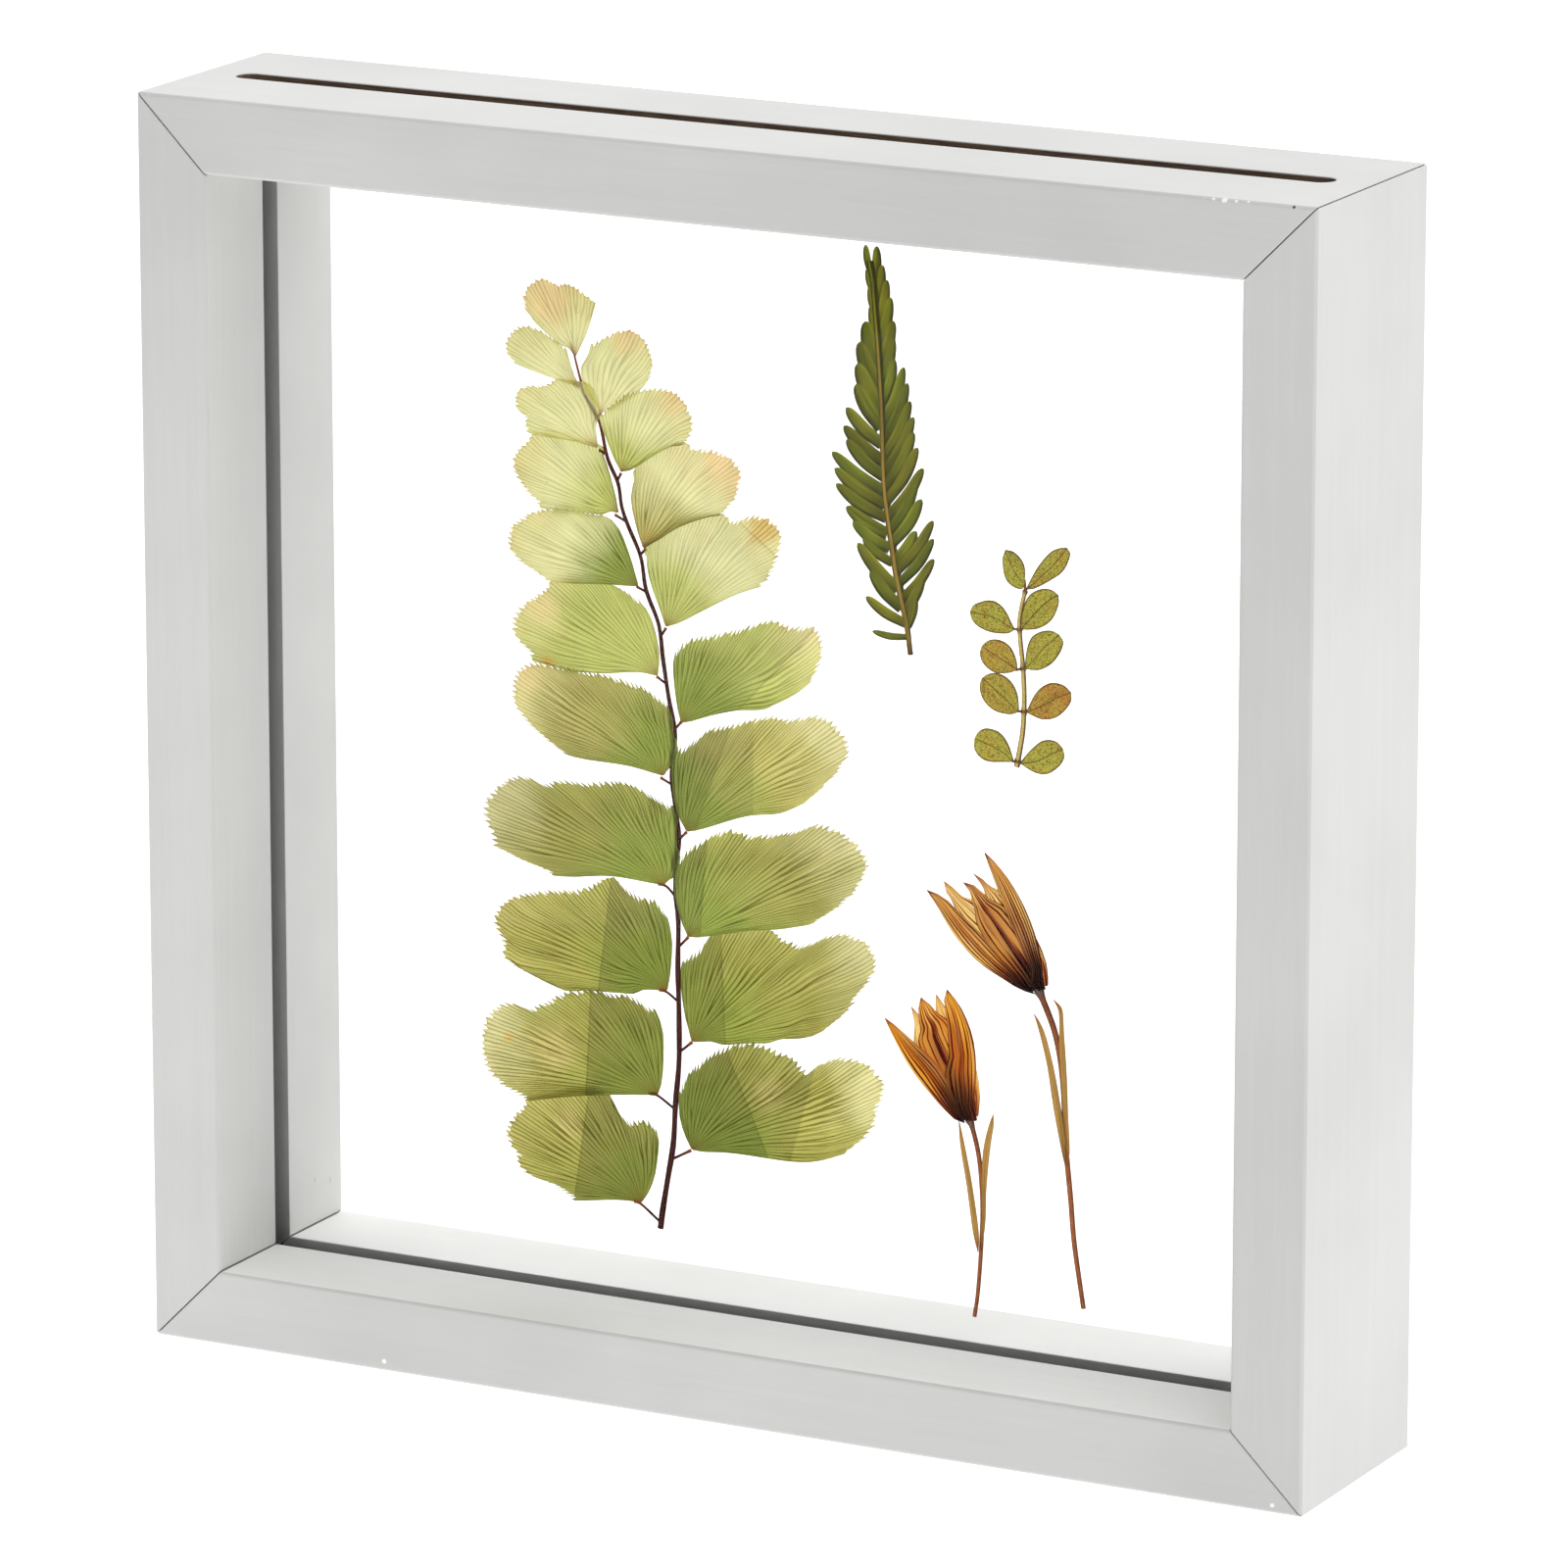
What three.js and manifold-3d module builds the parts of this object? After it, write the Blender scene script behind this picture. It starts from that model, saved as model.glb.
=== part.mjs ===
// A pressed flower frame: a square, deep, mitred frame with a slot in its top rail. Two clear panes stand
// in a groove that runs round the inside of the frame, and between them lie a fern frond, a dark frond,
// a leafy sprig and two orange flowers, all pressed flat.
//
// Millimetres. X to the right, Y from the front face to the back one, Z up. The origin is at the middle
// of the frame's underside.

import * as THREE from 'three';
import { mergeVertices } from 'three/addons/utils/BufferGeometryUtils.js';
import Module from 'manifold-3d';

const wasm = await Module();
wasm.setup();

// ---------------------------------------------------------------- driving dimensions

const SIDE = 250;              // outside width and height of the frame
const DEPTH = 49;              // front face to back face
const RAIL = 15;               // width of a rail seen from the front
const EDGE = 0.5;              // chamfer along a rail's long edges
const MITRE_GAP = 0.24;        // open joint between two rails

const PANE = 1.4;              // thickness of one pane
const PLANT_SPACE = 2.2;       // clear space between the two panes
const PANE_MIDDLE = 0.4;       // depth of the middle of that space
const PANE_WIDTH = 229;
const PANE_FOOT = 9.3;         // height of the panes' lower edge, in the groove
const PANE_TOP = 243;          // height of the panes' upper edge, inside the slot

const GROOVE = 6;              // width and depth of the groove that holds the panes
const SLOT_WIDTH = 5.6;        // slot through the top rail that the panes go in by
const SLOT_LENGTH = 234;
const NAIL_HOLES = { radius: 0.6, depth: 4, places: [[13.2, 24.2], [19.2, 22.6]] };   // at [y, z]

const PLATE = 0.25;            // thickness of a pressed leaf or petal
const LAYER = 0.4;             // distance between two layers of pressed pieces
const STEM_DEPTH = 0.65;       // thickness of a pressed stem
const FRONT_LAYER = PANE_MIDDLE - 2 * LAYER - PLATE / 2;   // depth of the front of layer 0, of five
const CURVE_STEP = 2.4;        // straight pieces in a curved outline are about this long
const OVERCUT = 2;             // how far a cutting solid passes the face that it opens

// ---------------------------------------------------------------- solids and outlines

function solidOf(geometry) {
  const bare = geometry.clone();
  bare.deleteAttribute('normal');
  bare.deleteAttribute('uv');
  const merged = mergeVertices(bare, 1e-4);
  return new wasm.Manifold(new wasm.Mesh({
    numProp: 3,
    vertProperties: new Float32Array(merged.attributes.position.array),
    triVerts: new Uint32Array(merged.index.array),
  }));
}

function geometryOf(solid) {
  const mesh = solid.getMesh();
  const geometry = new THREE.BufferGeometry();
  geometry.setAttribute('position', new THREE.BufferAttribute(mesh.vertProperties, 3));
  geometry.setIndex(new THREE.BufferAttribute(mesh.triVerts, 1));
  geometry.computeVertexNormals();
  return geometry;
}

const join = solids => solids.reduce((whole, solid) => whole.add(solid));

// Extrudes an outline that is drawn in X and Z, from the depth y towards the back.
function slab(shape, y, thickness) {
  const geometry = new THREE.ExtrudeGeometry(shape, { depth: thickness, bevelEnabled: false });
  geometry.rotateX(Math.PI / 2);
  geometry.translate(0, y + thickness, 0);
  return geometry;
}

const layerY = layer => FRONT_LAYER + layer * LAYER;

// A smooth curve through points, as evenly spaced points.
function curveThrough(points, step = CURVE_STEP) {
  const curve = new THREE.SplineCurve(points.map(([x, z]) => new THREE.Vector2(x, z)));
  return curve.getSpacedPoints(Math.max(1, Math.round(curve.getLength() / step)));
}

// A closed outline made of curves, each of which starts where the last one ends.
function outlineOf(runs, step) {
  const points = runs.flatMap(run => curveThrough(run, step).slice(0, -1));
  return new THREE.Shape(points);
}

// The outline of a strip along a curve, whose width at the share t of its length is widthAt(t).
function stripOutline(points, widthAt, step) {
  const line = curveThrough(points, step);
  const last = line.length - 1;
  const sides = [[], []];
  line.forEach((point, i) => {
    const along = line[Math.min(i + 1, last)].clone().sub(line[Math.max(i - 1, 0)]).normalize();
    const across = new THREE.Vector2(-along.y, along.x).multiplyScalar(widthAt(i / last) / 2);
    sides[0].push(point.clone().add(across));
    sides[1].push(point.clone().sub(across));
  });
  return new THREE.Shape([...sides[0], ...sides[1].reverse()]);
}

const taper = (start, end) => t => start + (end - start) * t;

// ---------------------------------------------------------------- materials

const finish = (color, roughness, extra = {}) =>
  new THREE.MeshStandardMaterial({ color, roughness, metalness: 0, ...extra });

const PAINT = () => finish(0xd4d4d1, 0.55);
const GLASS = () => finish(0xf4f8f6, 0.03, { transparent: true, opacity: 0.25 });
const FERN = () => finish(0xb9c07a, 0.8);
const FERN_STALK = () => finish(0x5a2a22, 0.6);
const DARK_LEAF = () => finish(0x5e6a24, 0.8);
const SPRIG_LEAF = () => finish(0x9a9a48, 0.8);
const SPRIG_STEM = () => finish(0xa88f48, 0.7);
const RUST_PETAL = () => finish(0xc98235, 0.7);
const ORANGE_PETAL = () => finish(0xd97a1c, 0.7);
const FLOWER_STEM = () => finish(0x84461f, 0.7);
const FLOWER_LEAF = () => finish(0xa8843c, 0.8);

const object = new THREE.Group();

function addPiece(name, geometry, material) {
  const mesh = new THREE.Mesh(geometry, material);
  mesh.name = name;
  object.add(mesh);
}

// ---------------------------------------------------------------- frame

// One rail lies along the top of the square, and the others are the same rail turned round its middle.
const RAILS = { top_rail: 0, right_rail: 1, bottom_rail: 2, left_rail: 3 };

function mitredRail(quarterTurns) {
  const half = SIDE / 2;
  const d = DEPTH / 2;
  const profile = new THREE.Shape([
    [half - RAIL, -d + EDGE], [half - RAIL + EDGE, -d], [half - EDGE, -d], [half, -d + EDGE],
    [half, d - EDGE], [half - EDGE, d], [half - RAIL + EDGE, d], [half - RAIL, d - EDGE],
  ].map(([z, y]) => new THREE.Vector2(y, z)));
  const bar = new THREE.ExtrudeGeometry(profile, { depth: SIDE, bevelEnabled: false });
  bar.translate(0, 0, -half);
  bar.applyMatrix4(new THREE.Matrix4().makeBasis(
    new THREE.Vector3(0, 1, 0), new THREE.Vector3(0, 0, 1), new THREE.Vector3(1, 0, 0)));

  // A wedge with its point just above the middle of the square leaves the two mitred ends.
  const point = MITRE_GAP / Math.SQRT2;
  const reach = SIDE;
  const wedge = slab(new THREE.Shape([
    new THREE.Vector2(0, point),
    new THREE.Vector2(reach, point + reach),
    new THREE.Vector2(-reach, point + reach),
  ]), -DEPTH, 2 * DEPTH);

  const rail = geometryOf(solidOf(bar).intersect(solidOf(wedge)));
  rail.rotateY(quarterTurns * Math.PI / 2);
  rail.translate(0, 0, half);
  return solidOf(rail);
}

function paneGroove() {
  const half = SIDE / 2 - RAIL + GROOVE;
  const box = new THREE.BoxGeometry(2 * half, GROOVE, SIDE - 2 * RAIL + GROOVE);
  box.translate(0, PANE_MIDDLE, (SIDE - GROOVE) / 2);
  return solidOf(box);
}

function paneSlot() {
  const r = SLOT_WIDTH / 2;
  const half = SLOT_LENGTH / 2 - r;
  const outline = new THREE.Shape();
  outline.moveTo(-half, -r);
  outline.lineTo(half, -r);
  outline.absarc(half, 0, r, -Math.PI / 2, Math.PI / 2);
  outline.lineTo(-half, r);
  outline.absarc(-half, 0, r, Math.PI / 2, 3 * Math.PI / 2);
  const options = { depth: RAIL + 2 * OVERCUT, bevelEnabled: false, curveSegments: 10 };
  const slot = new THREE.ExtrudeGeometry(outline, options);
  slot.translate(0, PANE_MIDDLE, SIDE - RAIL - OVERCUT);
  return solidOf(slot);
}

// Two empty nail holes in the inner face of the left rail, behind the panes.
function nailHoles() {
  const { radius, depth, places } = NAIL_HOLES;
  return join(places.map(([y, z]) => {
    const hole = new THREE.CylinderGeometry(radius, radius, 2 * depth, 8);
    hole.rotateZ(Math.PI / 2);
    hole.translate(RAIL - SIDE / 2, y, z);
    return solidOf(hole);
  }));
}

function addFrame() {
  const cuts = join([paneGroove(), paneSlot(), nailHoles()]);
  for (const [name, turns] of Object.entries(RAILS)) {
    addPiece(name, geometryOf(mitredRail(turns).subtract(cuts)), PAINT());
  }
}

function addPanes() {
  const height = PANE_TOP - PANE_FOOT;
  const offset = (PLANT_SPACE + PANE) / 2;
  for (const [name, side] of [['front_pane', -1], ['back_pane', 1]]) {
    const pane = new THREE.BoxGeometry(PANE_WIDTH, PANE, height);
    pane.translate(0, PANE_MIDDLE + side * offset, PANE_FOOT + height / 2);
    addPiece(name, pane, GLASS());
  }
}

// ---------------------------------------------------------------- fern frond

const FERN_MIDRIB = [
  [-24.5, 29.3], [-24, 33], [-22.8, 40], [-21.6, 47], [-21.1, 55], [-20.3, 64], [-20.3, 74], [-20.5, 82],
  [-20.4, 92], [-21, 98], [-20.7, 104], [-20.2, 109], [-21, 115], [-21.7, 121], [-21, 129],
  [-22.4, 136.5], [-23.6, 144], [-24.5, 150.5], [-27.2, 157], [-28.4, 163.5], [-31.2, 169.5],
  [-32.5, 173], [-33.3, 177.5], [-35.6, 182.3], [-37.4, 189.5], [-40.6, 195], [-42.4, 200.5],
];

// Short stalks between the midrib and the leaflets, each from the midrib outwards.
const FERN_STALKS = [
  [[-36, 183], [-37.4, 183.6]], [[-31.8, 170.2], [-34, 171.2]], [[-27.3, 156.7], [-29.3, 157.5]],
  [[-23, 139], [-25, 140.2]], [[-21.6, 119], [-24.2, 120.2]], [[-21.2, 97], [-23, 98.6], [-24.8, 98.9]],
  [[-20.5, 75.8], [-23, 77.4], [-24.6, 77.6]], [[-21.3, 54], [-25, 56.2], [-26.8, 56.4]],
  [[-24.5, 30.6], [-28.8, 33.7], [-30.3, 34]], [[-37.4, 189.5], [-37, 190.8]],
  [[-33.3, 178.2], [-32.6, 179.5]], [[-28.3, 164], [-27.3, 165.2]], [[-23.8, 148.6], [-22.9, 150]],
  [[-21, 130.2], [-19.6, 131.8]], [[-20.2, 108.3], [-18.5, 110]], [[-20, 87.1], [-18.2, 89]],
  [[-20, 65.8], [-17.4, 68]], [[-21.8, 43.8], [-17.7, 46.1]],
];

// Each leaflet starts at its foot, on the stalk. Its outline runs out along one smooth edge, round the
// toothed margin and home along the other smooth edge. Layer 0 lies against the front pane.
const FERN_LEAFLETS = {
  tip: {
    layer: 1, foot: [-42.5, 201.3], out: [[-44, 203.5], [-49, 207], [-51.5, 208.3]],
    margin: [[-53.5, 210], [-54, 212], [-53, 214], [-51, 215.8], [-48.5, 216.4], [-46.5, 215.4],
      [-43, 215.6], [-39.2, 213.6], [-37.8, 212.4]],
    home: [[-39, 208.5], [-40.5, 204.8]],
  },
  left_1: {
    layer: 0, foot: [-41.3, 195.4], out: [[-44, 196.2], [-50, 197.5], [-55.5, 199]],
    margin: [[-57.2, 200.5], [-57.6, 202.5], [-56.8, 204.5], [-55, 206.2], [-52.5, 206.8],
      [-50.5, 206.5], [-47, 205], [-44, 203]],
    home: [[-43, 199.5]],
  },
  right_1: {
    layer: 1, foot: [-37, 190.6], out: [[-38.5, 195], [-40, 199.5], [-38.8, 204.3]],
    margin: [[-36, 206], [-33, 207.5], [-30, 208], [-27.5, 206.8], [-26, 204.8], [-25.2, 201.5],
      [-25.8, 199.2]],
    home: [[-29, 197], [-35, 192.3]],
  },
  left_2: {
    layer: 1, foot: [-37.6, 184], out: [[-43, 184.8], [-51, 185.2], [-53, 185.6]],
    margin: [[-54.3, 186.6], [-52.6, 187.6], [-53.5, 188.5], [-55.5, 190], [-56, 191.5],
      [-55, 193.8], [-52.5, 195], [-49, 195.2], [-45, 196], [-40.8, 195.5]],
    home: [[-39, 191], [-37.8, 187]],
  },
  right_2: {
    layer: 0, foot: [-32.5, 179.8], out: [[-34, 183], [-36, 187.5], [-37, 190.5]],
    margin: [[-35, 192.3], [-32, 195], [-29, 196.3], [-25, 197.2], [-22, 197.4], [-20, 196.8],
      [-18, 195], [-16.8, 192.5], [-16.2, 190], [-17, 188], [-19, 186.5]],
    home: [[-22, 185.8], [-27.5, 182.2], [-30, 180.5]],
  },
  left_3: {
    layer: 3, foot: [-33.2, 171.6], out: [[-40, 171.8], [-50, 171.6]],
    margin: [[-53, 172.8], [-55, 175], [-56.5, 177], [-57, 179], [-56.3, 181], [-54, 183.3],
      [-51, 184.8], [-47, 185.2], [-39, 184.2], [-37, 183.2]],
    home: [[-36, 181], [-35, 178], [-34, 174.5]],
  },
  right_3: {
    layer: 1, foot: [-27.8, 165.2], out: [[-29.8, 172], [-30.2, 176], [-29, 179.8]],
    margin: [[-27, 181.8], [-24, 184], [-20, 186], [-18, 186.2], [-16, 185.8], [-14, 186.5],
      [-12, 186.4], [-9, 185.5], [-7, 184], [-6, 182.5], [-6.5, 180], [-7.2, 177.5], [-9, 175],
      [-11, 173.5]],
    home: [[-14, 172.8], [-20, 170.2], [-24, 167.5]],
  },
  left_4: {
    layer: 1, foot: [-28.8, 157.6], out: [[-36, 157.3], [-45, 156.5], [-49, 156.8]],
    margin: [[-52, 158.3], [-55, 159.7], [-57, 161.5], [-57.6, 164], [-57, 166.3], [-55, 168.5],
      [-52, 170], [-49, 171.2], [-45, 171.7], [-37, 171.5], [-34.5, 170.2]],
    home: [[-32.5, 168], [-30, 162]],
  },
  right_4: {
    layer: 3, foot: [-23, 150.2], out: [[-24.5, 153.5], [-26.3, 158], [-27.3, 162], [-27, 164.5]],
    margin: [[-25.5, 166.5], [-20, 170.4], [-14.6, 172.4], [-9.9, 172.8], [-7.4, 172.9],
      [-4.3, 174.4], [-0.9, 174.1], [1.5, 172.4], [2.1, 169.7], [1.2, 165.1], [-0.8, 161.8],
      [-2.6, 160.2]],
    home: [[-7.9, 158.1], [-15.5, 153.9], [-20, 151.3]],
  },
  left_5: {
    layer: 3, foot: [-24.8, 140.3], out: [[-33, 140.6], [-43, 140], [-48, 140.5], [-52, 141]],
    margin: [[-54.5, 142.5], [-56.5, 144.5], [-57.2, 146.5], [-56.8, 149], [-55, 151],
      [-50, 154.6], [-47, 156], [-43, 156.7], [-35, 156.3], [-29.5, 155.3], [-27.5, 153.3]],
    home: [[-26, 150.5], [-24.6, 145]],
  },
  right_5: {
    layer: 1, foot: [-19.65, 131.6], out: [[-20.7, 137.4], [-21.2, 143.1], [-20.7, 145.5]],
    margin: [[-19.3, 147.7], [-17.2, 148.9], [-10.1, 150.8], [-3.1, 153.3], [1.9, 154.7],
      [2.9, 153.4], [5.7, 153.7], [9.6, 154.3], [11, 152.6], [11.7, 149.8], [11, 147.3],
      [10.1, 144.5], [7.9, 142.2]],
    home: [[5, 139.9], [-0.3, 137.2], [-10.1, 134.8], [-17.9, 132]],
  },
  left_6: {
    layer: 1, foot: [-23.5, 120.6], out: [[-31, 121.8], [-41, 122], [-45, 122.5]],
    margin: [[-48, 124], [-51, 125.8], [-54, 128], [-56, 130.5], [-56.8, 133], [-56.6, 136],
      [-55.5, 138.5], [-53, 140], [-50, 140.4], [-42, 140], [-30, 138.7], [-24.5, 136.3],
      [-22.3, 134.8]],
    home: [[-21.3, 132], [-21.3, 127], [-22.3, 121.8]],
  },
  right_6: {
    layer: 0, foot: [-18.4, 110.1], out: [[-20.7, 115.9], [-21.4, 123.7], [-20.7, 127]],
    margin: [[-18.4, 127.3], [-15.1, 130], [-12.2, 131.8], [-8, 133], [-2.2, 135], [0.8, 135.7],
      [3.3, 135.2], [5.7, 135.8], [8.6, 136.6], [11.9, 136.9], [15.3, 134.8], [17.6, 131],
      [15.8, 126.9], [11.7, 122.5], [7.5, 119]],
    home: [[2.2, 116.3], [-4.8, 115], [-14.7, 111.2]],
  },
  left_7: {
    layer: 1, foot: [-23.5, 98.8], out: [[-34.5, 99.3], [-43.3, 98.1], [-47.7, 97.8]],
    margin: [[-50.4, 98.7], [-57.8, 100.8], [-61.5, 102.4], [-61.8, 105], [-63.6, 108.7],
      [-62.2, 112.4], [-57.8, 116.3], [-53.9, 117.3], [-50.2, 115.9], [-46.8, 117.4],
      [-40.5, 117.5], [-33.4, 118.7], [-28.5, 117.7], [-24.3, 116.1], [-21.8, 114.7]],
    home: [[-20.6, 111], [-20.6, 105.9], [-21.5, 101]],
  },
  right_7: {
    layer: 0, foot: [-18.2, 89.1], out: [[-20.2, 95.3], [-20.9, 98.8], [-20.2, 104.1]],
    margin: [[-17.7, 107.2], [-14, 109.4], [-9.3, 112], [-4.1, 111.5], [2.2, 112.5], [7.1, 114],
      [9.8, 115.4], [12.8, 115.4], [18.3, 113.1], [21.2, 110], [21.9, 108], [20.9, 106.6],
      [19, 103.1], [16.1, 99.9], [11.7, 96.6], [8.6, 95]],
    home: [[2.2, 93.3], [-4.8, 92.1], [-14.4, 89.7]],
  },
  left_8: {
    layer: 3, foot: [-22.9, 77.6], out: [[-31, 76.9], [-40.5, 76.3], [-45.1, 75.6], [-48.6, 75.7]],
    margin: [[-53.9, 77.2], [-59.7, 79.6], [-59.6, 82.6], [-61.9, 87], [-59.7, 90.6],
      [-55.7, 93], [-50.4, 94.4], [-43.3, 95.5], [-37.7, 97.5], [-34.5, 98], [-28.9, 95.8],
      [-25.2, 95.5], [-22.9, 92.1]],
    home: [[-22, 88], [-22.2, 83]],
  },
  right_8: {
    layer: 3, foot: [-17.5, 68], out: [[-19.1, 72.8], [-20.2, 80], [-19.8, 83.7]],
    margin: [[-17.2, 86], [-13.7, 88.6], [-10.1, 90.2], [-4.8, 91.3], [-0.1, 91.7], [6.1, 90.6],
      [9.3, 91.6], [13.5, 93.9], [17.9, 93.9], [21.4, 92], [22.8, 88.3], [21.2, 84.7],
      [18.8, 81.9], [18.3, 80], [14.2, 76.3], [10.7, 73.6]],
    home: [[8, 72.2], [3.3, 71.2], [-4.8, 70.3], [-14.4, 68.4]],
  },
  left_9: {
    layer: 1, foot: [-25, 56.4], out: [[-35.2, 55.1], [-45.1, 53.4], [-53.5, 51.4]],
    margin: [[-57.8, 52.9], [-61.7, 55], [-63.8, 58.1], [-64.1, 62.7], [-63.2, 67.3],
      [-59.7, 70.7], [-57.8, 71.3], [-54.4, 70.2], [-50.7, 71.7], [-46.1, 74.4], [-39.1, 76.5],
      [-35.2, 75.6], [-30.3, 76.2], [-28.9, 74.7], [-25.3, 73.7]],
    home: [[-23.6, 69.4], [-23.6, 62.4], [-24.3, 57.5]],
  },
  right_9: {
    layer: 1, foot: [-17.5, 46.3], out: [[-19.8, 51.8], [-20.2, 57.4]],
    margin: [[-18.4, 61.5], [-13.8, 65.9], [-8.4, 69.1], [-3.8, 70], [0.8, 69.2], [5.4, 67.8],
      [8.4, 65.4], [11.4, 68], [16.1, 69.7], [20.5, 69.1], [24.1, 66.6], [25.2, 64],
      [23.7, 60.3], [22.8, 56.4], [20.7, 53.6], [16, 50]],
    home: [[10, 47.7], [4, 46.9], [-8.4, 46.9], [-15.4, 46.2]],
  },
  left_10: {
    layer: 3, foot: [-28.8, 33.9], out: [[-34.1, 33.7], [-41.2, 32.6], [-44, 32.2]],
    margin: [[-49.3, 34.9], [-56.2, 36.7], [-56.5, 39.1], [-59.5, 44], [-57.4, 47.9],
      [-53.5, 51.1], [-49, 52.7], [-41.9, 54.8], [-37.3, 54.6], [-33.4, 51.1], [-31.7, 50.1],
      [-27.6, 51.1], [-25.5, 49]],
    home: [[-25, 46.5], [-26, 39.5], [-28.2, 34.5]],
  },
};

function addFern() {
  const y = layerY(2);
  const midrib = stripOutline(FERN_MIDRIB, taper(1.25, 0.6), 4);
  const stalks = FERN_STALKS.map(points => stripOutline(points, taper(0.9, 0.7)));
  const strips = [midrib, ...stalks].map(shape => solidOf(slab(shape, y, PLATE)));
  addPiece('fern_stalk', geometryOf(join(strips)), FERN_STALK());

  for (const [name, { layer, foot, out, margin, home }] of Object.entries(FERN_LEAFLETS)) {
    const runs = [[foot, ...out], [out.at(-1), ...margin], [margin.at(-1), ...home, foot]];
    addPiece(`fern_leaflet_${name}`, slab(outlineOf(runs), layerY(layer), PLATE), FERN());
  }
}

// ---------------------------------------------------------------- dark frond

const FROND_MIDRIB = [
  [20.9, 226], [21.7, 221.8], [22.2, 216], [22.8, 209.5], [23.3, 202], [23.8, 193], [24.1, 184.2],
  [24.8, 178], [25.7, 172.4], [26.7, 166.5], [27.9, 161.2], [29.2, 155.3], [29.9, 150.6],
];

// The narrow leaflets of each side from the top down: where each leaves the midrib, its tip, its width.
const FROND_LEAFLETS = {
  left: [
    { foot: [21.3, 223], tip: [19.9, 229], width: 1.1 },
    { foot: [21.7, 219.5], tip: [20.2, 224.5], width: 1 },
    { foot: [22.1, 215.5], tip: [20.7, 221], width: 1 },
    { foot: [22.5, 211], tip: [21, 217.5], width: 1.1 },
    { foot: [23, 204.5], tip: [20, 214.3], width: 2.3 },
    { foot: [23.1, 201], tip: [18.5, 210.5], width: 2.3 },
    { foot: [23.2, 197.5], tip: [18, 206], width: 2.3 },
    { foot: [23.4, 194], tip: [17.8, 202], width: 2.3 },
    { foot: [23.5, 190.8], tip: [15.9, 197.2], width: 2.4 },
    { foot: [23.7, 187.6], tip: [15.4, 193.6], width: 2.4 },
    { foot: [23.8, 184.6], tip: [16, 191], width: 2.3 },
    { foot: [24, 181.8], tip: [12.9, 188.3], width: 2.3 },
    { foot: [24.2, 179.2], tip: [13.5, 185.2], width: 2.4 },
    { foot: [24.5, 176.6], tip: [13.8, 182.2], width: 2.2 },
    { foot: [24.8, 173.6], tip: [16, 178], width: 2.4 },
    { foot: [25.3, 170.8], tip: [17.4, 175.2], width: 2.2 },
    { foot: [25.9, 168], tip: [19.6, 172.2], width: 1.8 },
    { foot: [27.1, 163], tip: [18.5, 171.2], width: 2.4 },
    { foot: [27.9, 159.4], tip: [21.2, 166], width: 2.3 },
    { foot: [28.7, 156.6], tip: [20.3, 160.9], width: 1.9 },
    { foot: [29.1, 154], tip: [21.7, 154.3], width: 1.2 },
  ],
  right: [
    { foot: [21.5, 221.5], tip: [22.2, 228.9], width: 1.3 },
    { foot: [22, 217.5], tip: [23.4, 225.4], width: 1.3 },
    { foot: [22.3, 213.5], tip: [24.4, 222.6], width: 1.4 },
    { foot: [22.6, 210], tip: [25.2, 219.3], width: 1.5 },
    { foot: [22.9, 206.5], tip: [25.8, 214.9], width: 1.6 },
    { foot: [23.1, 202.5], tip: [25.9, 211.5], width: 1.7 },
    { foot: [23.4, 198.5], tip: [26.1, 207.5], width: 1.7 },
    { foot: [23.7, 194.8], tip: [28.1, 206.2], width: 1.8 },
    { foot: [23.9, 191.5], tip: [28.9, 203.2], width: 1.9 },
    { foot: [24, 188.5], tip: [29.5, 199.8], width: 1.9 },
    { foot: [24.2, 185.6], tip: [30.2, 196.8], width: 1.9 },
    { foot: [24.4, 182.8], tip: [30.3, 193.8], width: 1.9 },
    { foot: [24.7, 180], tip: [31.1, 191], width: 1.9 },
    { foot: [25.1, 177.2], tip: [32.3, 187.1], width: 1.9 },
    { foot: [25.6, 174.6], tip: [31, 184.2], width: 1.8 },
    { foot: [26, 172], tip: [32, 181.1], width: 2 },
    { foot: [26.5, 168.6], tip: [30.9, 174.8], width: 1.8 },
    { foot: [26.9, 166.6], tip: [34.5, 177.2], width: 1.8 },
    { foot: [27.4, 164.2], tip: [34.6, 173.7], width: 1.7 },
    { foot: [28.1, 161.4], tip: [34.7, 169.8], width: 1.7 },
    { foot: [28.7, 158.8], tip: [32.6, 167], width: 1.8 },
    { foot: [29.3, 156], tip: [30.8, 162.4], width: 1.5 },
  ],
};
const FROND_LEAFLET_DEPTH = 0.3;
const LEAFLET_STEPS = 5;       // straight pieces along each side of a leaflet
const FROND_LEDGE = 0.14;      // step between a leaflet and its neighbours
const FROND_FRONT = 0.1;       // depth of the midrib's front
const FROND_MIDRIB_DEPTH = 0.8;

// A narrow leaflet that widens from its foot, bows outwards and ends in a round tip.
function narrowLeaflet({ foot, tip, width }, bow) {
  const start = new THREE.Vector2(...foot);
  const along = new THREE.Vector2(...tip).sub(start);
  const across = new THREE.Vector2(-along.y, along.x).multiplyScalar(bow);
  const middle = start.clone().addScaledVector(along, 0.5).add(across);
  const widthAt = t => width * (0.45 + 0.55 * Math.sin(Math.PI * Math.min(t * 0.85, 0.5))) *
    Math.sqrt(Math.max(1 - t ** 6, 0.04));
  return stripOutline([foot, middle.toArray(), tip], widthAt, along.length() / LEAFLET_STEPS);
}

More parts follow.
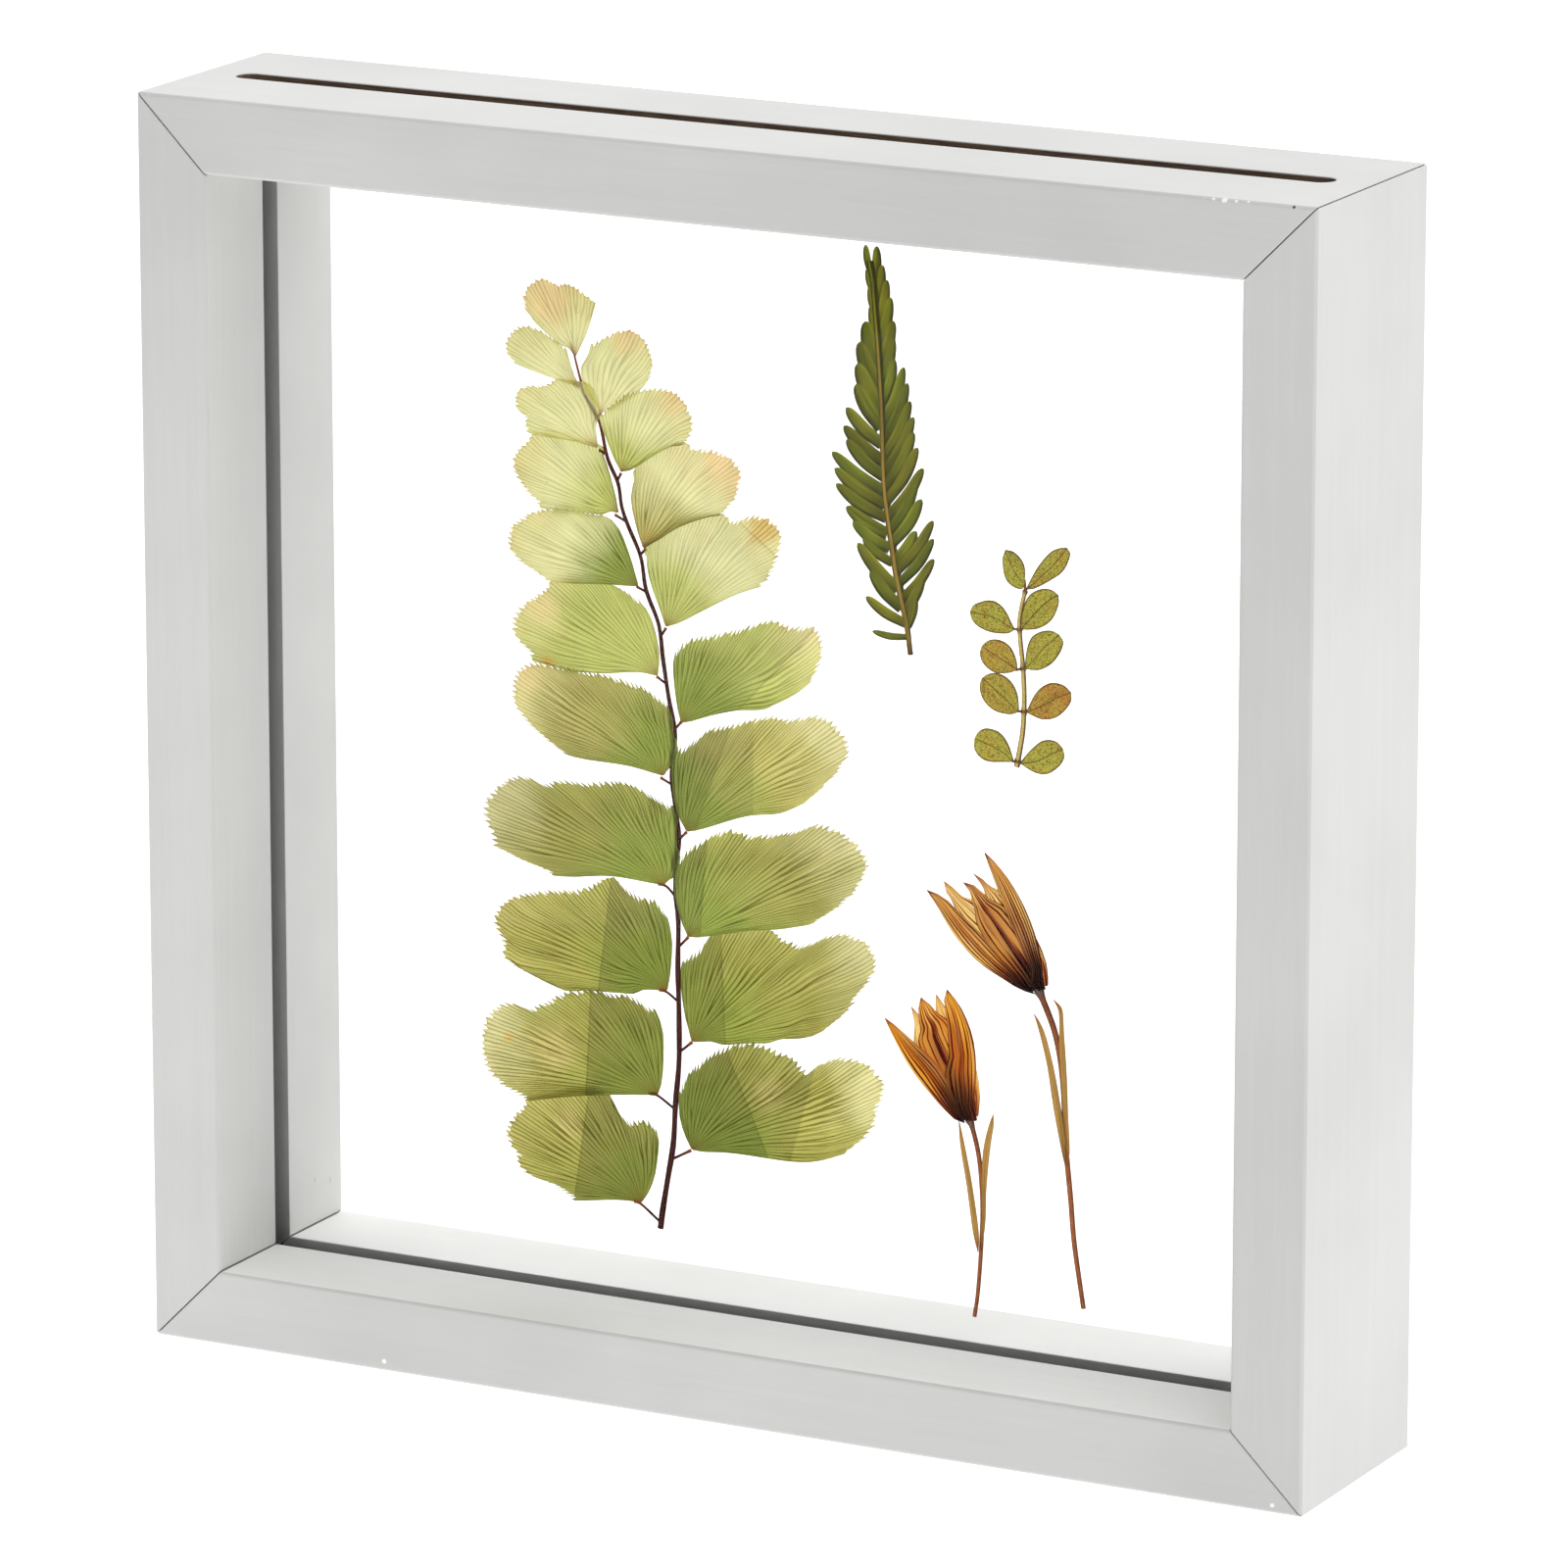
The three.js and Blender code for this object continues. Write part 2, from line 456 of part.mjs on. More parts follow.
function addDarkFrond() {
  const midrib = stripOutline(FROND_MIDRIB, taper(0.4, 0.85), 4);
  const solids = [solidOf(slab(midrib, FROND_FRONT, FROND_MIDRIB_DEPTH))];
  for (const [side, leaflets] of Object.entries(FROND_LEAFLETS)) {
    const bow = side === 'left' ? 0.05 : -0.05;
    leaflets.forEach((leaflet, i) => {
      const y = FROND_FRONT + FROND_LEDGE * (1 + i % 3);
      solids.push(solidOf(slab(narrowLeaflet(leaflet, bow), y, FROND_LEAFLET_DEPTH)));
    });
  }
  addPiece('dark_frond', geometryOf(join(solids)), DARK_LEAF());
}

// ---------------------------------------------------------------- sprig

const SPRIG_STEM_LINE = [
  [52.4, 131.2], [53.1, 135], [53.7, 139], [53.9, 145], [53.6, 150.7], [53, 156], [52.8, 159.5],
  [53.2, 162.3], [54, 165.7],
];

// The outline of each leaf, from its foot at the stem round to the foot again. Pair 1 is the top one.
const SPRIG_LEAVES = {
  left_1: [[53.6, 166.1], [51.3, 166.5], [49.9, 168.3], [49.5, 171], [49.9, 173.2], [51.5, 173.2],
    [53.5, 171.7], [54.2, 169.7], [54.1, 167.6]],
  right_1: [[54.4, 166.1], [56.3, 166.5], [59.7, 168.5], [62.2, 170.5], [63.5, 173.3], [63.2, 175.1],
    [60, 174.2], [57.3, 171.3], [55.7, 168.7]],
  left_2: [[52.2, 158.1], [50.7, 157.2], [47.3, 157], [44.3, 157.9], [42.7, 159.8], [43.3, 161.8],
    [47, 163.2], [49.7, 162], [51.3, 159.5]],
  right_2: [[53.4, 158.2], [57, 158.8], [60, 161], [61.4, 165.3], [59, 166.7], [56, 165.8],
    [54.3, 163.7], [53.5, 160.5]],
  left_3: [[52.9, 150.4], [51, 149.6], [48, 149.4], [45.8, 150.8], [45, 152.7], [45.7, 154.7],
    [48, 155.8], [50.8, 155.2], [52.5, 152.8]],
  right_3: [[54.3, 150.7], [57.3, 150.8], [60.3, 152.7], [62.3, 156.3], [61, 158.4], [58.3, 158.5],
    [55.7, 157], [54.6, 154]],
  left_4: [[53.1, 142.2], [51.3, 141.5], [48, 141.8], [45.7, 143.5], [44.8, 146], [45.5, 148.2],
    [48.3, 149.2], [51, 148.2], [52.7, 145.7]],
  right_4: [[54.6, 142.3], [58, 141.3], [61.3, 142.2], [63.8, 145], [64, 147.2], [62, 148.5],
    [59.3, 148.4], [56.7, 146.3]],
  left_5: [[52.1, 132.3], [49.7, 132], [46.3, 131.8], [44, 133.3], [43.7, 135.8], [45.5, 138],
    [48.8, 137.8], [50.8, 135.7]],
  right_5: [[53.4, 132.2], [56.3, 130.8], [59.3, 130.8], [62, 133], [62.7, 135.2], [61.3, 137.1],
    [58.3, 137.2], [55.3, 134.7]],
};
const LEAF_OVER_ITS_NEIGHBOUR = 'left_3';

function addSprig() {
  const stem = stripOutline(SPRIG_STEM_LINE, taper(1.2, 0.85), 3);
  addPiece('sprig_stem', slab(stem, layerY(2), STEM_DEPTH), SPRIG_STEM());
  for (const [name, points] of Object.entries(SPRIG_LEAVES)) {
    const layer = name === LEAF_OVER_ITS_NEIGHBOUR ? 0 : 1;
    const shape = outlineOf([[...points, points[0]]], 1.6);
    addPiece(`sprig_leaf_${name}`, slab(shape, layerY(layer), PLATE), SPRIG_LEAF());
  }
}

// ---------------------------------------------------------------- flowers

// Each petal has its two edges, both from its foot to its tip, and lies in a layer of its own. Petals
// count from the left. A flower's two narrow leaves are drawn in the same way.
const FLOWERS = {
  upper: {
    petalMaterial: RUST_PETAL,
    stem: [[58.2, 86.2], [60.6, 80.7], [62, 75], [62.8, 68], [63.3, 58], [64.4, 47.5], [65.3, 38.3],
      [67.3, 26]],
    stemWidth: [1.5, 1.1],
    petals: [
      { layer: 0, foot: [57.1, 87.3], tip: [33.8, 105.1],
        low: [[53.9, 87.9], [50.9, 89.2], [45, 92.2], [39.9, 96.8], [36.3, 101.9]],
        high: [[50.5, 93], [44.6, 98.5], [41.2, 101.1], [37.6, 104]] },
      { layer: 3, foot: [57.2, 87.6], tip: [36.9, 106.9],
        low: [[50.5, 93.6], [43.5, 99.4], [38, 104]],
        high: [[52.5, 93.5], [47, 99.5], [43.5, 101.9], [39.1, 105.7]] },
      { layer: 2, foot: [57.3, 87.8], tip: [41.2, 107.3],
        low: [[51.5, 93], [47.1, 97.7], [43.5, 102.8], [42.6, 105.9]],
        high: [[56, 93.5], [52.4, 99], [47.5, 104], [43.7, 106.9]] },
      { layer: 4, foot: [57.5, 87.9], tip: [42.9, 109.1],
        low: [[54, 93.5], [49.5, 100], [44.5, 107.4]],
        high: [[57, 93.5], [53, 100.5], [48.8, 105.1], [46.2, 107], [44.6, 108.5]] },
      { layer: 1, foot: [57.8, 87.8], tip: [45.9, 113.9],
        low: [[56.4, 90.9], [53.9, 96], [50.9, 101.9], [48.8, 107], [47.3, 110.4]],
        high: [[58.4, 90.5], [58.1, 94.3], [56, 101.1], [52.4, 107.4], [48.8, 111.6]] },
    ],
    leaves: {
      left: { layer: 0, foot: [63.7, 54], tip: [56.8, 83.6],
        low: [[62.8, 57.5], [61.1, 65.5], [59.8, 73.1], [58.3, 79]],
        high: [[63.6, 60], [62.2, 68], [60.9, 74], [59, 80.3]] },
      right: { layer: 1, foot: [64, 54], tip: [60.7, 86.8],
        low: [[63.2, 62], [62.5, 70], [62.1, 76.5], [62, 82.9], [61.7, 85]],
        high: [[64.4, 57], [64.1, 63], [63.6, 73.1], [63, 80.7], [62.7, 84.6], [61.9, 86]] },
    },
  },
  lower: {
    petalMaterial: ORANGE_PETAL,
    stem: [[43.3, 59], [44.7, 53.7], [45.4, 47.5], [45.6, 41.4], [45.3, 34], [44.7, 26], [44, 21.1]],
    stemWidth: [1.15, 0.9],
    petals: [
      { layer: 0, foot: [42.3, 59.8], tip: [24.9, 78.6],
        low: [[39.9, 60.4], [34.8, 64.7], [30.2, 69.7], [27.2, 74.4]],
        high: [[40.7, 63.4], [36.5, 70.6], [31.4, 74.4], [26.8, 77.6]] },
      { layer: 3, foot: [42.4, 60], tip: [30, 81.2],
        low: [[39, 64.5], [34.5, 69.5], [31.4, 75.7], [30.4, 79.9]],
        high: [[40, 66], [36.5, 72.5], [33, 78], [31.2, 80.3]] },
      { layer: 2, foot: [42.5, 60.2], tip: [32.3, 83.4],
        low: [[38.8, 65.5], [34.2, 72.5], [32.1, 78], [31.8, 81.8]],
        high: [[42.3, 65.5], [40, 73.5], [37, 79], [34.6, 81.9]] },
      { layer: 4, foot: [42.7, 60.2], tip: [35.2, 84.2],
        low: [[40, 67], [36.2, 75], [35, 82.4]],
        high: [[43, 67], [40.5, 76], [37.6, 81.2], [36.4, 82.7]] },
      { layer: 1, foot: [42.9, 60.1], tip: [38.1, 85.8],
        low: [[40.6, 64.5], [38.8, 71], [38.2, 79.1], [37.4, 84.1]],
        high: [[43.9, 63], [44.4, 71], [43.5, 77.4], [41.2, 82.4]] },
    ],
    leaves: {
      left: { layer: 0, foot: [45.2, 34.3], tip: [40.9, 60.6],
        low: [[44.1, 38.3], [42.8, 46.9], [41.3, 55.2]],
        high: [[45.3, 38.5], [43.9, 47.5], [42.2, 55.5]] },
      right: { layer: 1, foot: [45.5, 34.3], tip: [48.1, 62.4],
        low: [[45.8, 44.5], [45.7, 50], [46.1, 55.5], [47.2, 60]],
        high: [[46.5, 40], [46.7, 47], [47.5, 55.5], [48.3, 61]] },
    },
  },
};

function addBlade(name, { layer, foot, tip, low, high }, material) {
  const shape = outlineOf([[foot, ...low, tip], [tip, ...high.toReversed(), foot]]);
  addPiece(name, slab(shape, layerY(layer), PLATE), material);
}

function addFlowers() {
  for (const [flower, { petalMaterial, stem, stemWidth, petals, leaves }] of Object.entries(FLOWERS)) {
    const shape = stripOutline(stem, taper(...stemWidth), 4);
    addPiece(`${flower}_flower_stem`, slab(shape, layerY(2), STEM_DEPTH), FLOWER_STEM());
    petals.forEach((petal, i) => addBlade(`${flower}_flower_petal_${i + 1}`, petal, petalMaterial()));
    for (const [side, leaf] of Object.entries(leaves)) {
      addBlade(`${flower}_flower_leaf_${side}`, leaf, FLOWER_LEAF());
    }
  }
}

// ---------------------------------------------------------------- the whole object

addFrame();
addPanes();
addFern();
addDarkFrond();
addSprig();
addFlowers();

export default object;
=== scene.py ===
"""A pressed flower frame: the painted rails, the clear panes and the pressed plants between them."""

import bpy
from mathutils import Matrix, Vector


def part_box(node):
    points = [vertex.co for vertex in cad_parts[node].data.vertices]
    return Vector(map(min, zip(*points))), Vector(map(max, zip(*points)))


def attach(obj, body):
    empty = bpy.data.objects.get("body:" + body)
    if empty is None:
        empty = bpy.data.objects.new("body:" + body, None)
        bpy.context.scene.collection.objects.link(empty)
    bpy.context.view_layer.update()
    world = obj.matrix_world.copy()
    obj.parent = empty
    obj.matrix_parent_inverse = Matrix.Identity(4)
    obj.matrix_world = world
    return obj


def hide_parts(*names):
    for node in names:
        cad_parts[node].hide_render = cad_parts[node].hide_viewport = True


bl_info = {
    "name": "Pressed flower frame",
    "version": (1, 0, 0),
    "blender": (4, 5, 0),
    "location": "3D View > Sidebar > Flower frame",
    "description": "Builds a painted slotted frame, its panes and the pressed plants between them",
    "category": "Object",
}

import math
import zlib

import bmesh
import bpy
import numpy as np
from bpy.props import FloatProperty, FloatVectorProperty, PointerProperty
from mathutils import Matrix, Vector

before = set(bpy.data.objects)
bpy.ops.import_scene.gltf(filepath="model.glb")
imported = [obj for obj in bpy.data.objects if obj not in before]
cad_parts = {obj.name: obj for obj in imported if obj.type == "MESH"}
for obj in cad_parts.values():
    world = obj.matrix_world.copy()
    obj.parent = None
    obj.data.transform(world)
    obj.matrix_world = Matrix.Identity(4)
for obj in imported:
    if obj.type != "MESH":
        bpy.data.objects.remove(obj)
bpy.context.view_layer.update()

MM = 0.001
BODY = "root"

# ---------------------------------------------------------------- the plants' layout, in millimetres

# Each fern leaflet: its foot on the stalk, the corner where its first smooth edge meets the toothed
# margin, the corner where the margin meets its other smooth edge, and its tones along the smooth
# edges, in the middle and at the outer end.
FERN_LEAFLETS = {
    "tip": ((-42.5, 201.3), (-51.5, 208.3), (-37.8, 212.4), ("pale_green", "straw", "peach")),
    "left_1": ((-41.3, 195.4), (-55.5, 199), (-44, 203), ("pale_green", "pale_green", "straw")),
    "right_1": ((-37, 190.6), (-38.8, 204.3), (-25.8, 199.2), ("pale_green", "pale_green", "straw")),
    "left_2": ((-37.6, 184), (-53, 185.6), (-40.8, 195.5), ("pale_green", "pale_green", "straw")),
    "right_2": ((-32.5, 179.8), (-37, 190.5), (-19, 186.5), ("fresh_green", "pale_green", "straw")),
    "left_3": ((-33.2, 171.6), (-50, 171.6), (-37, 183.2), ("fresh_green", "pale_green", "straw")),
    "right_3": ((-27.8, 165.2), (-29, 179.8), (-11, 173.5), ("tan", "pale_green", "peach")),
    "left_4": ((-28.8, 157.6), (-49, 156.8), (-34.5, 170.2), ("green", "pale_green", "straw")),
    "right_4": ((-23, 150.2), (-27, 164.5), (-2.6, 160.2), ("fresh_green", "pale_green", "straw")),
    "left_5": ((-24.8, 140.3), (-52, 141), (-27.5, 153.3), ("fresh_green", "fresh_green", "straw")),
    "right_5": ((-19.65, 131.6), (-20.7, 145.5), (7.9, 142.2), ("green", "fresh_green", "straw")),
    "left_6": ((-23.5, 120.6), (-45, 122.5), (-22.3, 134.8), ("green", "tan", "straw")),
    "right_6": ((-18.4, 110.1), (-20.7, 127), (7.5, 119), ("green", "tan", "cream")),
    "left_7": ((-23.5, 98.8), (-47.7, 97.8), (-21.8, 114.7), ("green", "olive", "cream")),
    "right_7": ((-18.2, 89.1), (-20.2, 104.1), (8.6, 95), ("green", "olive", "cream")),
    "left_8": ((-22.9, 77.6), (-48.6, 75.7), (-22.9, 92.1), ("green", "olive", "tan")),
    "right_8": ((-17.5, 68), (-19.8, 83.7), (10.7, 73.6), ("deep_green", "olive", "cream")),
    "left_9": ((-25, 56.4), (-53.5, 51.4), (-25.3, 73.7), ("deep_green", "olive", "cream")),
    "right_9": ((-17.5, 46.3), (-20.2, 57.4), (16, 50), ("green", "olive", "cream")),
    "left_10": ((-28.8, 33.9), (-44, 32.2), (-25.5, 49), ("deep_green", "olive", "tan")),
}

# Creases pressed into the leaflets, shown only as painted light and shade: how much brighter the leaf
# is painted beyond them, as a power of e, and two points on each of the one or two lines.
CREASE_LIGHT = {
    "right_4": (0.12, ((-7.6, 172.9), (-3.5, 169.9))),
    "right_5": (0.16, ((-4.8, 138), (9.3, 153))),
    "right_6": (0.22, ((-14, 117), (-9, 131)), ((-3.5, 117), (-3.5, 127))),
    "right_7": (0.28, ((-15, 93), (-13.8, 108))),
    "right_8": (0.28, ((-10.4, 70), (-11.2, 88))),
    "right_9": (0.3, ((-9, 66), (-2.7, 51.8)), ((9.6, 66), (5.7, 51.8))),
    "left_8": (0.32, ((-35.9, 94), (-37.7, 80))),
    "left_9": (0.32, ((-39.7, 72), (-40.6, 56))),
    "left_10": (0.36, ((-41.2, 50), (-43.1, 37.3))),
}

# Warm or pale spots on the leaflets: x, z, radius, tone and strength of each.
LEAF_SPOTS = {
    "tip": [(-48, 212, 6, "peach", 0.9)],
    "right_1": [(-31, 207, 5, "peach", 0.8)],
    "right_2": [(-20.5, 195.5, 4.5, "peach", 0.8)],
    "right_3": [(-10.5, 183.5, 5, "peach", 0.9), (-26, 167, 3.5, "ochre", 0.2)],
    "right_4": [(-2, 172, 4.5, "ochre", 0.7)],
    "right_5": [(3, 153.5, 2, "ochre", 0.5)],
    "left_5": [(-50, 151, 5, "peach", 0.5), (-49, 140.4, 2, "ochre", 0.8)],
    "left_6": [(-53, 137, 4, "peach", 0.6), (-33, 128, 6, "tan", 0.4)],
    "left_7": [(-34.5, 105, 0.9, "cream", 0.7)],
    "left_9": [(-58, 63.9, 1.3, "ochre", 0.8), (-48, 63, 7, "peach", 0.3)],
    "left_10": [(-45, 48, 4, "peach", 0.3)],
    "right_9": [(0, 60, 5, "peach", 0.2)],
}

# How dark the painted shadow is along a leaflet's second smooth edge, where it lies against its neighbour.
PAINTED_EDGE_SHADOW = {"right_2": 0.7, "right_3": 0.9, "left_3": 0.3, "left_4": 0.3}

# The fern's midrib, from its foot up.
FERN_MIDRIB = [
    (-24.5, 29.3), (-24, 33), (-22.8, 40), (-21.6, 47), (-21.1, 55), (-20.3, 64), (-20.3, 74), (-20.5, 82),
    (-20.4, 92), (-21, 98), (-20.7, 104), (-20.2, 109), (-21, 115), (-21.7, 121), (-21, 129),
    (-22.4, 136.5), (-23.6, 144), (-24.5, 150.5), (-27.2, 157), (-28.4, 163.5), (-31.2, 169.5),
    (-32.5, 173), (-33.3, 177.5), (-35.6, 182.3), (-37.4, 189.5), (-40.6, 195), (-42.4, 200.5),
    (-43.2, 204.2),
]

# The short stalks between the fern's midrib and its leaflets, from the midrib outwards.
FERN_STALKS = [
    [(-36, 183), (-37.4, 183.6)], [(-31.8, 170.2), (-34, 171.2)], [(-27.3, 156.7), (-29.3, 157.5)],
    [(-23, 139), (-25, 140.2)], [(-21.6, 119), (-24.2, 120.2)], [(-21.2, 97), (-23, 98.6), (-24.8, 98.9)],
    [(-20.5, 75.8), (-23, 77.4), (-24.6, 77.6)], [(-21.3, 54), (-25, 56.2), (-26.8, 56.4)],
    [(-24.5, 30.6), (-28.8, 33.7), (-30.3, 34)], [(-37.4, 189.5), (-37, 190.8)],
    [(-33.3, 178.2), (-32.6, 179.5)], [(-28.3, 164), (-27.3, 165.2)], [(-23.8, 148.6), (-22.9, 150)],
    [(-21, 130.2), (-19.6, 131.8)], [(-20.2, 108.3), (-18.5, 110)], [(-20, 87.1), (-18.2, 89)],
    [(-20, 65.8), (-17.4, 68)], [(-21.8, 43.8), (-17.7, 46.1)],
]

# The dark frond's midrib, from its top down.
FROND_MIDRIB = [
    (20.9, 226), (21.7, 221.8), (22.2, 216), (22.8, 209.5), (23.3, 202), (23.8, 193), (24.1, 184.2),
    (24.8, 178), (25.7, 172.4), (26.7, 166.5), (27.9, 161.2), (29.2, 155.3), (29.9, 150.6),
]

# The dark frond's leaflets from the top down: foot x and z, tip x and z, and the width that shows.
FROND_LEAFLETS = {
    "left": [
        (21.3, 223, 19.9, 229, 1.1), (21.7, 219.5, 20.2, 224.5, 1), (22.1, 215.5, 20.7, 221, 1),
        (22.5, 211, 21, 217.5, 1.1), (23, 204.5, 20, 214.3, 3), (23.1, 201, 18.7, 210.2, 3),
        (23.2, 197.5, 18.3, 206, 3), (23.4, 194, 18, 202, 2.8), (23.5, 190.8, 15.9, 197.2, 2.4),
        (23.7, 187.6, 15.4, 193.6, 2.4), (23.8, 184.6, 16, 191, 2.3), (24, 181.8, 12.9, 188.3, 2.3),
        (24.2, 179.2, 13.5, 185.2, 2.4), (24.5, 176.6, 13.8, 182.2, 2.2), (24.8, 173.6, 16, 178, 2.4),
        (25.3, 170.8, 17.4, 175.2, 2.2), (25.9, 168, 19.6, 172.2, 1.8), (27.1, 163, 18.5, 171.2, 2.4),
        (27.9, 159.4, 21.2, 166, 2.3), (28.7, 156.6, 20.3, 160.9, 1.9), (29.1, 154, 21.7, 154.3, 1.2),
    ],
    "right": [
        (21.5, 221.5, 22.2, 228.9, 1.3), (22, 217.5, 23.4, 225.4, 1.3), (22.3, 213.5, 24.4, 222.6, 1.4),
        (22.6, 210, 25.2, 219.3, 1.5), (22.9, 206.5, 25.8, 214.9, 1.6), (23.1, 202.5, 25.9, 211.5, 1.7),
        (23.4, 198.5, 26.1, 207.5, 1.7), (23.7, 194.8, 28.1, 206.2, 1.8), (23.9, 191.5, 28.9, 203.2, 1.9),
        (24, 188.5, 29.5, 199.8, 1.9), (24.2, 185.6, 30.2, 196.8, 1.9), (24.4, 182.8, 30.3, 193.8, 1.9),
        (24.7, 180, 31.1, 191, 1.9), (25.1, 177.2, 32.3, 187.1, 1.9), (25.6, 174.6, 31, 184.2, 1.8),
        (26, 172, 32, 181.1, 2), (26.5, 168.6, 30.9, 174.8, 1.8), (26.9, 166.6, 34.5, 177.2, 1.8),
        (27.4, 164.2, 34.6, 173.7, 1.7), (28.1, 161.4, 34.7, 169.8, 1.7), (28.7, 158.8, 32.6, 167, 1.8),
        (29.3, 156, 30.8, 162.4, 1.5),
    ],
}
FROND_FRONT = 0.1          # depth of the front of the frond's midrib
FROND_LEDGE = 0.022        # step from a leaflet to the next one above it
FROND_OVERLAP = 1.25       # how much wider a leaflet is than what shows of it
FROND_TOP_OVERLAP = 1.5    # the same for the narrow leaflets near the top
FROND_THICKNESS = 0.12
FROND_GRID = (26, 13)      # rows and columns of points on a leaflet

# The sprig's stem, from its foot up.
SPRIG_STEM_LINE = [
    (52.4, 131.2), (53.1, 135), (53.7, 139), (53.9, 145), (53.6, 150.7), (53, 156), (52.8, 159.5),
    (53.2, 162.3), (54, 165.7),
]
SPRIG_JOINTS = [132.3, 142.2, 150.6, 158, 165.6]    # heights at which the pairs of leaves grow

# How far the sprig's leaves have turned brown; the others have hardly.
BROWNED_LEAVES = {"left_3": 0.45, "right_4": 0.7, "right_1": 0.15, "left_4": 0.3}

# The flowers' stems, from the petals down.
FLOWER_STEMS = {
    "upper": [
        (56.9, 89.2), (57.5, 87.6), (58.2, 86.2), (60.6, 80.7), (62, 75), (62.8, 68), (63.3, 58),
        (64.4, 47.5), (65.3, 38.3), (67.3, 26),
    ],
    "lower": [
        (42.2, 61.8), (42.7, 60.3), (43.3, 59), (44.7, 53.7), (45.4, 47.5), (45.6, 41.4), (45.3, 34),
        (44.7, 26), (44, 21.1),
    ],
}
FLOWER_STEM_WIDTHS = {"upper": (1.5, 1.1), "lower": (1.15, 0.9)}    # at the top and at the foot
MIDDLE_PETAL = 3
BACK_PETALS = (2, 4)
PETAL_STREAKS = {"upper": 1.6, "lower": 0.95}    # how strong the veins of each flower are
PETAL_FEET = {"upper": 0.33, "lower": 0.26}    # share of a petal's length that its dark foot takes up
PETAL_VEINS = 3.5          # veins over half the width of a petal
PETAL_DYE = (0.46, 0.17, 0.09)    # what the veins' dye lets through where it is of density 1
RECEPTACLE_SWELL = 0.9     # how much wider a stem is where it carries the petals
STEM_THICKNESS = 0.6       # of the sprig's and the flowers' stems, from front to back
STEM_MIDDLE = 0.6          # depth of the middle of these stems, between the panes
BLADE_THICKNESS = 0.14     # of a petal, a sprig leaf or a narrow leaf

# ---------------------------------------------------------------- settings that a user would change


def rgb(red, green, blue):
    """A colour as it is seen, from 0 to 255, for a colour setting."""
    return (red / 255, green / 255, blue / 255)


def colour_setting(name, description, red, green, blue):
    return FloatVectorProperty(
        name=name, description=description, subtype="COLOR_GAMMA", size=3, min=0, max=1,
        default=rgb(red, green, blue),
    )


class FrameLook(bpy.types.PropertyGroup):
    """Paint and arrises of the four rails."""

    paint: colour_setting("Paint", "Light grey satin paint of the rails", 207, 207, 205)
    raw_wood: colour_setting("Raw wood", "Bare board inside the slot", 118, 100, 84)
    arris: FloatProperty(
        name="Arris", description="Width of the softened edges of a rail, in millimetres",
        default=0.22, min=0.02, max=1,
    )
    brush_marks: FloatProperty(
        name="Brush marks", description="Strength of the brush marks in the paint",
        subtype="FACTOR", default=0.35, min=0, max=1,
    )
    pane_tint: colour_setting("Pane tint", "Colour of the light that passes the panes", 254, 254, 254)
    pane_ior: FloatProperty(
        name="Pane IOR", description="Refraction of the panes, low because they are coated against glare",
        default=1.12, min=1, max=2,
    )


class FernLook(bpy.types.PropertyGroup):
    """Size and tones of the fern's leaflets and stalks."""

    thickness: FloatProperty(
        name="Leaf thickness", description="Thickness of a pressed leaflet, in millimetres",
        default=0.16, min=0.05, max=0.3,
    )
    tooth: FloatProperty(
        name="Tooth depth", description="Depth of the teeth along the margin, in millimetres",
        default=1.2, min=0, max=2,
    )
    vein_pitch: FloatProperty(
        name="Vein pitch", description="Distance between two veins at the margin, in millimetres",
        default=0.92, min=0.2, max=3,
    )
    deep_green: colour_setting("Deep green", "Darkest leaf, near the midrib", 160, 172, 78)
    green: colour_setting("Green", "Green leaf near the midrib", 158, 174, 76)
    fresh_green: colour_setting("Fresh green", "Lighter green leaf", 208, 214, 120)
    pale_green: colour_setting("Pale green", "Thin upper leaflets", 247, 244, 184)
    olive: colour_setting("Olive", "Middle of the lower leaflets", 182, 178, 94)
    tan: colour_setting("Tan", "Faded middle of a leaflet", 200, 192, 112)
    straw: colour_setting("Straw", "Faded outer end of a leaflet", 244, 234, 168)
    cream: colour_setting("Cream", "Faded outer end of the lower leaflets", 222, 216, 158)
    peach: colour_setting("Peach", "Warm outer end of the top leaflets", 255, 226, 166)
    ochre: colour_setting("Ochre", "Small warm spots", 230, 186, 92)
    stalk: colour_setting("Stalk", "Dark red-brown midrib", 70, 18, 10)
    stalk_top: colour_setting("Young stalk", "Red-brown top of the midrib", 156, 82, 34)


class PlantLook(bpy.types.PropertyGroup):
    """Tones of the dark frond, the sprig and the two flowers."""

    frond: colour_setting("Frond", "Olive leaflets of the dark frond", 130, 134, 26)
    frond_rib: colour_setting("Frond midrib", "Golden midrib of the dark frond", 196, 156, 56)
    sprig: colour_setting("Sprig leaf", "Olive of the small leaves", 210, 204, 76)
    sprig_rust: colour_setting("Rusty leaf", "Browned leaves of the sprig", 222, 158, 60)
    sprig_stem: colour_setting("Sprig stem", "Straw gold of the sprig's stem", 232, 204, 112)
    upper_petal: colour_setting("Upper petal", "Amber of the upper flower", 255, 222, 138)
    lower_petal: colour_setting("Lower petal", "Orange of the lower flower", 255, 208, 84)
    pale_petal: colour_setting("Pale petal", "Pale amber of the petals behind", 255, 240, 178)
    rust: colour_setting("Rust", "Red-brown ends of the flowers' narrow leaves", 186, 86, 24)
    maroon: colour_setting("Maroon", "Dark red of the petals' feet and the joints of stems", 78, 20, 10)
    flower_stem: colour_setting("Flower stem", "Red-brown stem", 196, 116, 68)
    receptacle: colour_setting("Receptacle", "Grey-purple swelling under the petals", 122, 98, 92)
    bract: colour_setting("Narrow leaf", "Olive tan of the flowers' narrow leaves", 232, 188, 100)


